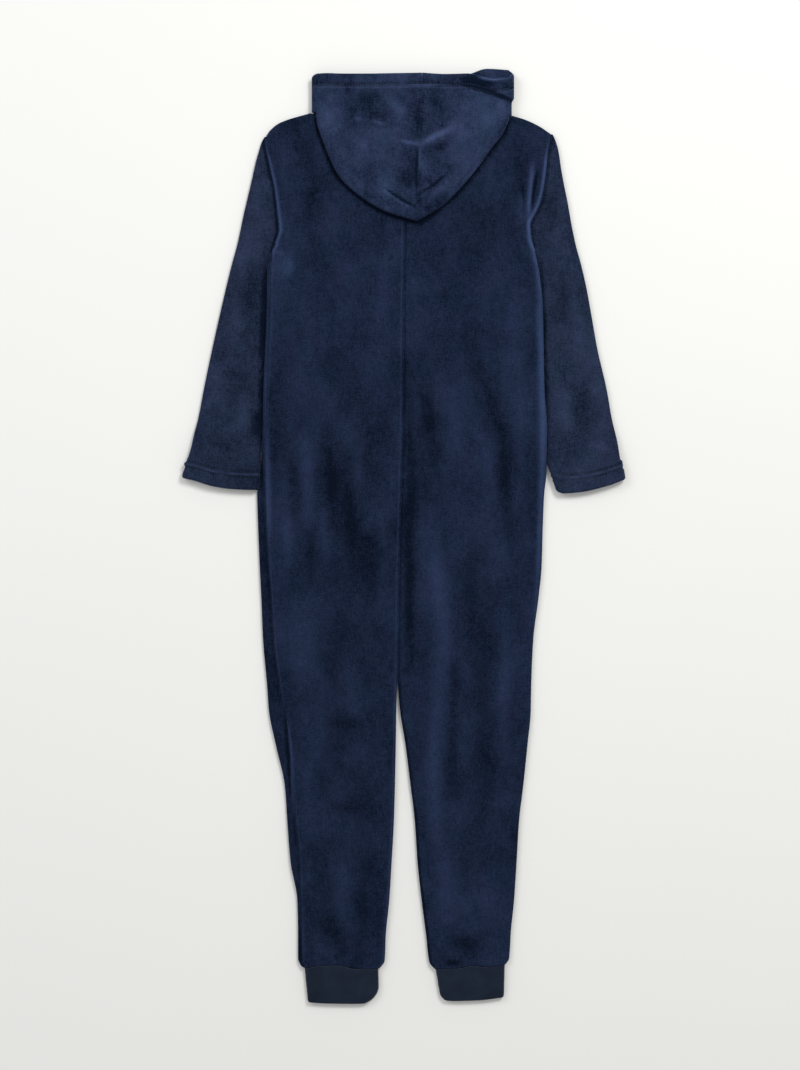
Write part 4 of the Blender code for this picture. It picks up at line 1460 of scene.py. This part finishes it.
def add_stitches(mesh, points, facing):
    """Lays stitches into a bmesh along one row of surface points."""
    places = walked(points, points, STITCH_PITCH)
    normals = walked(points, facing, STITCH_PITCH)
    for place, normal, along in zip(places, normals, np.gradient(places, axis=0)):
        along = Vector(along).normalized()
        out = Vector(normal - np.array(along) * np.dot(normal, along)).normalized()
        turn = Matrix([along, out.cross(along), out]).transposed().to_4x4()
        shape = Matrix.Diagonal((*STITCH_SIZE, 1))
        shift = Matrix.Translation(Vector(place) - out * STITCH_SUNK)
        bmesh.ops.create_uvsphere(mesh, u_segments=6, v_segments=4, radius=0.5, matrix=shift @ turn @ shape)


print("a stitch is", STITCH_SIZE[0] * 1000, "mm long")

# %% Stitches along the sleeves' hems
for side, side_name in SIDES.items():
    mesh = bmesh.new()
    for row in HEM_ROWS:
        points, facing = sleeve_section(side, HEM_MIDDLE + row)
        add_stitches(mesh, points + facing * FLEECE / 2, facing)
    name = f"hem_stitches_{side_name}"
    made[name] = finished(name, mesh)
    print(name, "has", len(made[name].data.polygons), "faces")

# %% Stitches along the hood's rim
RIM_START = HEM_POINTS + 2 * FOLD_STEPS  # points of a hood line before its outer layer
RIM_POINTS = 40  # of its outer layer, which reach well past the stitches


def rim_line(side, from_rim):
    """The line on a hood half at one distance from its rim, with the outward directions."""
    places = []
    for points, facing in hood_columns(side):
        far = np.linalg.norm(points[RIM_START:] - points[RIM_START], axis=1) + HEM_STEP / 2 + FLEECE / 2
        index = RIM_START + int(np.argmin(abs(far[:RIM_POINTS] - from_rim)))
        places.append(np.concatenate([points[index] + facing[index] * FLEECE / 2, facing[index]]))
    return np.array(places)


for side, side_name in SIDES.items():
    mesh = bmesh.new()
    for row in RIM_ROWS:
        line = rim_line(side, row)
        add_stitches(mesh, line[:, :3], line[:, 3:])
    name = f"rim_stitches_{side_name}"
    made[name] = finished(name, mesh)
    print(name, "has", len(made[name].data.polygons), "faces")

# %% [markdown]
# ## The zip
#
# The garment lies on its zip, so nothing of it shows from above, but it is a real piece: two
# woven tapes, and a row of teeth that mesh in the middle. A tooth starts as a cube. All of
# them are bevelled together, one step instead of hundreds.

# %% Tapes
TAPE = 0.5 * MM
TAPE_LEVEL = 2.0 * MM
TAPE_STEP = 4 * MM
TAPE_ACROSS = (0.35 * MM, 1.5 * MM, 2.6 * MM, 3.7 * MM)  # from the zip's middle
LEVEL_UP = np.tile([0.0, 0.0, 1.0], (len(TAPE_ACROSS), 1))

for side, side_name in SIDES.items():
    rows = []
    for station in np.arange(ZIP_TOP - SEAM, ZIP_END + SEAM, -TAPE_STEP):
        middle = at(CENTRE, "x", station)
        strip = [(middle + side * far, station, TAPE_LEVEL) for far in TAPE_ACROSS]
        rows.append((np.array(strip), LEVEL_UP))
    name = f"zip_tape_{side_name}"
    made[name] = sheet(name, rows, TAPE)

# %% Teeth
TOOTH_SIZE = (2.4 * MM, 0.95 * MM, 1.1 * MM)
TOOTH_STEP = 1.3 * MM
TOOTH_LEVEL = 1.45 * MM
TOOTH_ASIDE = 0.75 * MM  # from the zip's middle, to either side in turn
TOOTH_BEVEL = 0.22 * MM


def bevelled(mesh, edges, offset, segments):
    """The mesh with those edges bevelled."""
    bmesh.ops.bevel(
        mesh, geom=edges, offset=offset, affect="EDGES", segments=segments, profile=0.5, material=-1
    )
    return mesh


mesh = bmesh.new()
tooth_stations = np.arange(ZIP_END + 2 * SEAM + TOOTH_SIZE[1] / 2, ZIP_TOP - 2 * SEAM, TOOTH_STEP)
for count, station in enumerate(tooth_stations):
    middle = at(CENTRE, "x", station) + (1 if count % 2 else -1) * TOOTH_ASIDE
    place = Matrix.Translation((middle, station, TOOTH_LEVEL)) @ Matrix.Diagonal((*TOOTH_SIZE, 1))
    bmesh.ops.create_cube(mesh, size=1, matrix=place)
made["zip_teeth"] = finished("zip_teeth", bevelled(mesh, list(mesh.edges), TOOTH_BEVEL, 1))
print("teeth:", len(tooth_stations), "with faces:", len(made["zip_teeth"].data.polygons))

# %% [markdown]
# ## Slider and pull
#
# The slider's body is a small cast block with a mouth at each end, which an inset and an
# extrusion inward make. The pull is a flat plate with a slot for the finger end: two inset
# faces are taken away and their borders bridged through the plate.

# %% Helpers for the cast pieces
SHARP = 0.6  # in radians, the angle above which an edge is bevelled


def block(low, high):
    """A bmesh cube between two corners."""
    mesh = bmesh.new()
    bmesh.ops.create_cube(mesh, size=1)
    for vertex in mesh.verts:
        vertex.co = [a + (b - a) * (c + 0.5) for a, b, c in zip(low, high, vertex.co)]
    return mesh


def rounded(mesh, offset):
    """The mesh with its sharp edges bevelled."""
    sharp = [edge for edge in mesh.edges if edge.calc_face_angle(0) > SHARP]
    bevelled(mesh, sharp, offset, 2)
    bmesh.ops.recalc_face_normals(mesh, faces=list(mesh.faces))
    return mesh


slider_low, slider_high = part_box("zip_slider")
slider_x = (slider_low[0] + slider_high[0]) / 2
print("the slider's middle is at x =", round(slider_x * 1000, 2), "mm")

# %% Slider
SLIDER_HALF = 3.6 * MM
SLIDER_LENGTH = 11 * MM
SLIDER_LEVELS = (0.9 * MM, 2.4 * MM)
SLIDER_NARROW = 0.78  # width of its lower end, against the upper one
MOUTH_WALL = 0.45 * MM
MOUTH_DEPTH = 3.2 * MM
SLIDER_BEVEL = 0.12 * MM

body_low = (slider_x - SLIDER_HALF, ZIP_TOP, SLIDER_LEVELS[0])
body_high = (slider_x + SLIDER_HALF, ZIP_TOP + SLIDER_LENGTH, SLIDER_LEVELS[1])
mesh = block(body_low, body_high)
for vertex in mesh.verts:
    if vertex.co.y < ZIP_TOP + MM:
        vertex.co.x = slider_x + (vertex.co.x - slider_x) * SLIDER_NARROW
mouths = [face for face in mesh.faces if abs(face.normal.y) > 0.9]
bmesh.ops.inset_individual(mesh, faces=mouths, thickness=MOUTH_WALL)
for face in mouths:
    inwards = -face.normal.normalized() * MOUTH_DEPTH
    deeper = bmesh.ops.extrude_discrete_faces(mesh, faces=[face])["faces"]
    for vertex in deeper[0].verts:
        vertex.co += inwards
made["slider_body"] = finished("slider_body", rounded(mesh, SLIDER_BEVEL))
print("slider body faces:", len(made["slider_body"].data.polygons))

# %% Pull
PULL_HALF = 2.2 * MM
PULL_ENDS = (ZIP_TOP - 20 * MM, ZIP_TOP + 4 * MM)
PULL_LEVELS = (0.15 * MM, 0.8 * MM)
SLOT_TOP = ZIP_TOP - 9 * MM
SLOT_RIM = 1.1 * MM
PULL_BEVEL = 0.14 * MM

pull_low, pull_high = zip((-PULL_HALF, PULL_HALF), PULL_ENDS, PULL_LEVELS)
mesh = block(pull_low, pull_high)
bmesh.ops.translate(mesh, verts=list(mesh.verts), vec=(slider_x, 0, 0))
geometry = list(mesh.verts) + list(mesh.edges) + list(mesh.faces)
bmesh.ops.bisect_plane(mesh, geom=geometry, plane_co=(0, SLOT_TOP, 0), plane_no=(0, 1, 0))
flats = [face for face in mesh.faces if abs(face.normal.z) > 0.9]
ends = [face for face in flats if face.calc_center_median().y < SLOT_TOP]
bmesh.ops.inset_individual(mesh, faces=ends, thickness=SLOT_RIM)
rims = [edge for face in ends for edge in face.edges]
bmesh.ops.delete(mesh, geom=ends, context="FACES_ONLY")
bmesh.ops.bridge_loops(mesh, edges=rims)
made["slider_pull"] = finished("slider_pull", rounded(mesh, PULL_BEVEL))
print("slider pull faces:", len(made["slider_pull"].data.polygons))

# %% [markdown]
# ## Shader maths in plain Python
#
# A material is a small program of nodes. Wired by hand it is hard to read, so one class wraps
# a socket and gives it the usual operators: adding two wires makes a Math node that adds. A
# second class makes any other node from its type, its settings and its sockets' values.

# %% Wires and finishes
class Wire:
    """A value on its way between two nodes. Arithmetic on it makes Math nodes."""

    def __init__(self, finish, socket):
        self.finish = finish
        self.socket = socket

    def math(self, operation, first, second):
        """A Math node with two inputs."""
        return self.finish.add("ShaderNodeMath", {"operation": operation}, {0: first, 1: second})

    def __add__(self, other):
        return self.math("ADD", self, other)

    __radd__ = __add__

    def __sub__(self, other):
        return self.math("SUBTRACT", self, other)

    def __rsub__(self, other):
        return self.math("SUBTRACT", other, self)

    def __mul__(self, other):
        return self.math("MULTIPLY", self, other)

    __rmul__ = __mul__


class Finish:
    """A material, and the one way in which its nodes are made."""

    def __init__(self, name, **constants):
        self.material = bpy.data.materials.new(name)
        self.material.use_nodes = True
        self.shader = self.material.node_tree.nodes["Principled BSDF"]
        titles = {title.lower().replace(" ", "_"): title for title in self.shader.inputs.keys()}
        self.feed(self.shader, {titles[title]: value for title, value in constants.items()})
        self.place = self.add("ShaderNodeTexCoord", output="Object")

    def feed(self, node, sockets):
        """Gives a node's sockets their values, or joins them to wires."""
        for key, value in sockets.items():
            if isinstance(value, Wire):
                self.material.node_tree.links.new(value.socket, node.inputs[key])
            else:
                node.inputs[key].default_value = value

    def add(self, kind, settings=None, sockets=None, output=0):
        """A new node: its type, its settings, and the values or wires of its sockets."""
        node = self.material.node_tree.nodes.new(kind)
        for key, value in (settings or {}).items():
            setattr(node, key, value)
        self.feed(node, sockets or {})
        return Wire(self, node.outputs[output])

    def noise(self, size, stretch=(1, 1, 1), detail=2.0, shift=0.0):
        """Values round 0 in patches of about that size, longer where the stretch is less than 1."""
        mapped = {"Vector": self.place, "Location": (shift, 1.7 * shift, 0.6 * shift), "Scale": stretch}
        mapped = self.add("ShaderNodeMapping", None, mapped)
        sockets = {"Vector": mapped, "Scale": 1 / size, "Detail": detail, "Roughness": 0.55}
        return self.add("ShaderNodeTexNoise", None, sockets) - 0.5

    def waves(self, size, direction):
        """A sine wave from -1 to 1 along one axis."""
        parts = self.add("ShaderNodeSeparateXYZ", None, {"Vector": self.place}, output=direction)
        return self.math_of("SINE", parts * (2 * math.pi / size))

    def math_of(self, operation, value):
        """A Math node with one input."""
        return self.add("ShaderNodeMath", {"operation": operation}, {0: value})

    def clamped(self, value):
        """A value held between 0 and 1."""
        return self.add("ShaderNodeClamp", None, {"Value": value})

    def blend(self, first, second, share):
        """A colour between two others."""
        sockets = {0: share, 6: first, 7: second}
        return self.add("ShaderNodeMix", {"data_type": "RGBA"}, sockets, output=2)

    def bumped(self, height, distance, strength=1.0):
        """Fine relief, as a bump in the normals."""
        sockets = {"Height": height, "Distance": distance, "Strength": strength}
        self.feed(self.shader, {"Normal": self.add("ShaderNodeBump", None, sockets)})


def tone(colour, amount=1.0):
    """A colour as a node wants it, made lighter or darker."""
    return (*[channel * amount for channel in colour], 1)


print("finishes are made with", [name for name in vars(Finish) if not name.startswith("_")])

# %% [markdown]
# ## Navy pile fleece
#
# Brushed pile looks lighter where it leans to the light and darker where it leans away, so a
# plain navy garment is never one colour: hands have left cloudy patches, and the knit below
# shows as faint streaks. The pile is too fine to model, so it is a bump with a soft sheen, and
# its colour also carries the painted light and shade of the strokes. The hood and the sleeves
# were cut with their nap the other way, and their finishes are lighter copies of the fleece, as
# a painted sheen.

# %% Fleece
NAVY_GREEN = (0.0060, 0.0134, 0.0328)
NAVY_VIOLET = (0.0085, 0.0125, 0.0350)
DULL = 0.0165
DARK_CAST = (0.45, 1.0, 1.3)  # the painted shade and the darker patches are bluer than the plain colour
LIGHT_CAST = (1.12, 1.01, 0.92)  # the painted highlights and the lighter patches are a little redder
DARKEST = 0.25  # times the plain colour
# the brightest painted highlights reach this, times the plain colour
LIGHTEST = 4.5


def cast(navy, shares, amount):
    """A navy with a cast, made lighter or darker."""
    return tone([channel * share for channel, share in zip(navy, shares)], amount)


def fleece(name, amount, grey, mottle, shift):
    """Pile fleece. amount and grey are its lightness and dullness, mottle its small patches."""
    green = [mixed(channel, DULL, grey) for channel in NAVY_GREEN]
    violet = [mixed(channel, DULL, grey) for channel in NAVY_VIOLET]
    sheen = {"sheen_weight": 0.3, "sheen_roughness": 0.35, "sheen_tint": (0.3, 0.5, 1.0, 1)}
    cloth = Finish(name, specular_ior_level=0.06, **sheen)
    drift = cloth.noise(90 * MM, (1.5, 0.5, 1), detail=1, shift=shift)
    patch = cloth.noise(30 * MM, (1, 0.6, 1), detail=1.5, shift=shift + 0.3)
    small = cloth.noise(9 * MM, (1, 0.8, 1), detail=1, shift=shift)
    across = cloth.noise(4 * MM, (0.8, 2.6, 1), detail=1, shift=shift)
    along = cloth.noise(4 * MM, (2.6, 0.6, 1), detail=1, shift=shift + 0.5)
    pile = cloth.noise(1.3 * MM, detail=1)
    # the painted highlights and shade that each point of the cloth carries
    painted_strokes = cloth.add("ShaderNodeAttribute", {"attribute_name": "nap"}, output="Fac")
    clouds = drift + patch + small * mottle
    streaks = across + along * 1.1 + pile * 1.8
    # random patches and streaks, and the painted light and shade of the strokes
    share = cloth.clamped(0.19 + 0.27 * clouds + 0.215 * streaks + 0.25 * painted_strokes)
    hue = cloth.clamped(0.5 + 1.2 * cloth.noise(26 * MM, (1, 0.6, 1), detail=1, shift=shift + 0.9))
    darks = [cast(navy, DARK_CAST, DARKEST * amount) for navy in (green, violet)]
    lights = [cast(navy, LIGHT_CAST, LIGHTEST * amount) for navy in (green, violet)]
    dark = cloth.blend(*darks, hue)
    light = cloth.blend(*lights, hue)
    cloth.feed(cloth.shader, {"Base Color": cloth.blend(dark, light, share)})
    cloth.feed(cloth.shader, {"Roughness": cloth.clamped(0.86 - 0.2 * clouds)})
    cloth.bumped(0.5 * pile + 0.8 * (across + along) + 0.6 * small, 0.9 * MM, 0.7)
    return cloth.material


fleece_body = fleece("navy_fleece_body", 1.0, 0.0, 0.45, 0.0)
fleece_front = fleece("navy_fleece_front", 1.0, 0.0, 0.45, 2.0)
# lighter copies for the sleeves and the hood: painted sheen of pile that leans the other way
fleece_sleeve = fleece("navy_fleece_sleeve", 1.35, 0.15, 0.5, 4.0)
fleece_hood = fleece("navy_fleece_hood", 1.5, 0.08, 0.9, 6.0)
print("fleece:", fleece_body.name, fleece_front.name, fleece_sleeve.name, fleece_hood.name)

# %% [markdown]
# ## Rib knit, thread, tape and metal
#
# The rib is the same navy without the pile, so it has hardly any sheen and shows its knit
# loops instead. The thread is a smooth twisted polyester. The zip's tape is woven in a fine
# twill, its teeth are nylon, and the slider is cast metal, rubbed bright at random.

# %% Rib and thread
RIB_COLOURS = (0.0040, 0.0088, 0.0195), (0.0092, 0.0172, 0.0355)
THREAD_COLOURS = (0.011, 0.018, 0.040), (0.022, 0.034, 0.072)


def rib_knit():
    """Navy rib: loops in rows across it, in uneven yarn."""
    cloth = Finish("navy_rib", specular_ior_level=0.12, sheen_weight=0.12, sheen_roughness=0.5)
    patch = cloth.noise(20 * MM, detail=2)
    yarn = cloth.noise(0.9 * MM, (1, 0.6, 1), detail=2)
    loops = cloth.waves(1.5 * MM, "Y")
    share = cloth.clamped(0.5 + 1.5 * patch + 1.1 * yarn + 0.12 * loops)
    colour = cloth.blend(*map(tone, RIB_COLOURS), share)
    cloth.feed(cloth.shader, {"Base Color": colour, "Roughness": cloth.clamped(0.88 - 0.2 * patch)})
    cloth.bumped(0.3 * loops + yarn, 0.3 * MM, 0.8)
    return cloth.material


def thread():
    """Navy sewing thread, a little lighter than the cloth."""
    cloth = Finish("navy_thread", roughness=0.6, specular_ior_level=0.3, sheen_weight=0.2)
    twist = cloth.noise(0.5 * MM, (1, 2, 1), detail=1)
    share = cloth.clamped(0.5 + 2 * twist)
    cloth.feed(cloth.shader, {"Base Color": cloth.blend(*map(tone, THREAD_COLOURS), share)})
    cloth.bumped(twist, 0.15 * MM)
    return cloth.material


navy_rib = rib_knit()
navy_thread = thread()
print("finishes:", navy_rib.name, "and", navy_thread.name)

# %% Tape, nylon and metal
TAPE_COLOURS = (0.006, 0.009, 0.019), (0.018, 0.026, 0.050)
NYLON_COLOURS = (0.010, 0.014, 0.028), (0.020, 0.028, 0.055)
METAL_COLOURS = (0.22, 0.22, 0.23), (0.52, 0.52, 0.53)


def zip_tape():
    """The zip's woven tape."""
    cloth = Finish("navy_tape", roughness=0.7, specular_ior_level=0.25, sheen_weight=0.1)
    twill = cloth.math_of("SINE", (cloth.waves(1.1 * MM, "X") + cloth.waves(0.7 * MM, "Y")) * 3)
    patchiness = cloth.noise(6 * MM, detail=2)
    share = cloth.clamped(0.5 + 0.35 * twill + patchiness)
    colour = cloth.blend(*map(tone, TAPE_COLOURS), share)
    cloth.feed(cloth.shader, {"Base Color": colour, "Roughness": cloth.clamped(0.7 - 0.1 * twill)})
    cloth.bumped(twill, 0.1 * MM, 0.7)
    return cloth.material


def nylon():
    """The teeth's nylon, with fine marks where it was drawn."""
    plastic = Finish("navy_nylon", specular_ior_level=0.45)
    drawn = plastic.noise(0.8 * MM, (3, 1, 1), detail=2)
    share = plastic.clamped(0.5 + 2 * drawn)
    colour = plastic.blend(*map(tone, NYLON_COLOURS), share)
    plastic.feed(plastic.shader, {"Base Color": colour, "Roughness": plastic.clamped(0.38 + 0.5 * drawn)})
    plastic.bumped(drawn, 0.05 * MM)
    return plastic.material


def cast_metal():
    """The slider's cast metal, rubbed bright in places."""
    metal = Finish("slider_metal", metallic=1.0)
    rubbed = metal.noise(3 * MM, detail=3)
    scratches = metal.noise(0.9 * MM, (6, 1, 1), detail=3)
    share = metal.clamped(0.5 + 1.5 * rubbed)
    colour = metal.blend(*map(tone, METAL_COLOURS), share)
    gloss = metal.clamped(0.38 - 0.5 * rubbed + 0.4 * scratches)
    metal.feed(metal.shader, {"Base Color": colour, "Roughness": gloss})
    metal.bumped(scratches, 0.03 * MM)
    return metal.material


navy_tape = zip_tape()
navy_nylon = nylon()
slider_metal = cast_metal()
print("finishes:", navy_tape.name, navy_nylon.name, "and", slider_metal.name)

# %% [markdown]
# ## The floor
#
# A pale matt sheet, wide enough to fill the view from above. It isn't part of the garment, so
# it is staged.

# %% Floor
FLOOR_HALF = 4  # half of its width, in metres
FLOOR_COLOURS = (0.790, 0.790, 0.777), (0.824, 0.824, 0.814)


def floor_finish():
    """Pale paper, very slightly cloudy."""
    paper = Finish("pale_floor", specular_ior_level=0.1)
    cloudy = paper.noise(400 * MM, detail=2)
    fine = paper.noise(3 * MM, detail=2)
    share = paper.clamped(0.5 + 0.6 * cloudy + 0.3 * fine)
    colour = paper.blend(*map(tone, FLOOR_COLOURS), share)
    paper.feed(paper.shader, {"Base Color": colour})
    paper.bumped(fine, 0.1 * MM, 0.3)
    return paper.material


mesh = bmesh.new()
bmesh.ops.create_grid(mesh, size=FLOOR_HALF)
floor = finished("floor", mesh)
floor.data.materials.append(floor_finish())
floor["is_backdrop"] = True
print("floor:", [round(side, 2) for side in floor.dimensions])

# %% [markdown]
# ## What each piece is
#
# Every piece rides on the garment's one body, stands for its packed solid and takes its
# finish.

# %% Finishes and places of the pieces
PIECES = {
    "back_panel": ("back", "fleece", fleece_body),
    "front_panel": ("front", "fleece", fleece_front),
    "sleeve_shell": ("sleeve", "fleece", fleece_sleeve),
    "hood_shell": ("hood", "fleece", fleece_hood),
    "cuff_knit": ("cuff", "rib", navy_rib),
    "hem_stitches": (None, "fleece", navy_thread),
    "rim_stitches": (None, "fleece", navy_thread),
    "zip_tape": (None, "zip", navy_tape),
    "zip_teeth": (None, "zip", navy_nylon),
    "slider": (None, "slider", slider_metal),
}
for name, piece in made.items():
    kind = next(kind for kind in PIECES if name.startswith(kind))
    node, slot, finish = PIECES[kind]
    piece.data.materials.append(finish)
    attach(piece, "root")
    if node:
        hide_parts(node + name[len(kind):])
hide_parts("zip_chain")
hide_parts("zip_slider")
print("pieces:", len(made))


# %% Sizes and the end
boxes = {"cad": cad_box, "visual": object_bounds()}
boxes = {title: [[float(value) for value in corner] for corner in box] for title, box in boxes.items()}
print("box grows by", [round(b - a, 4) for a, b in zip(boxes["cad"][1], boxes["visual"][1])])
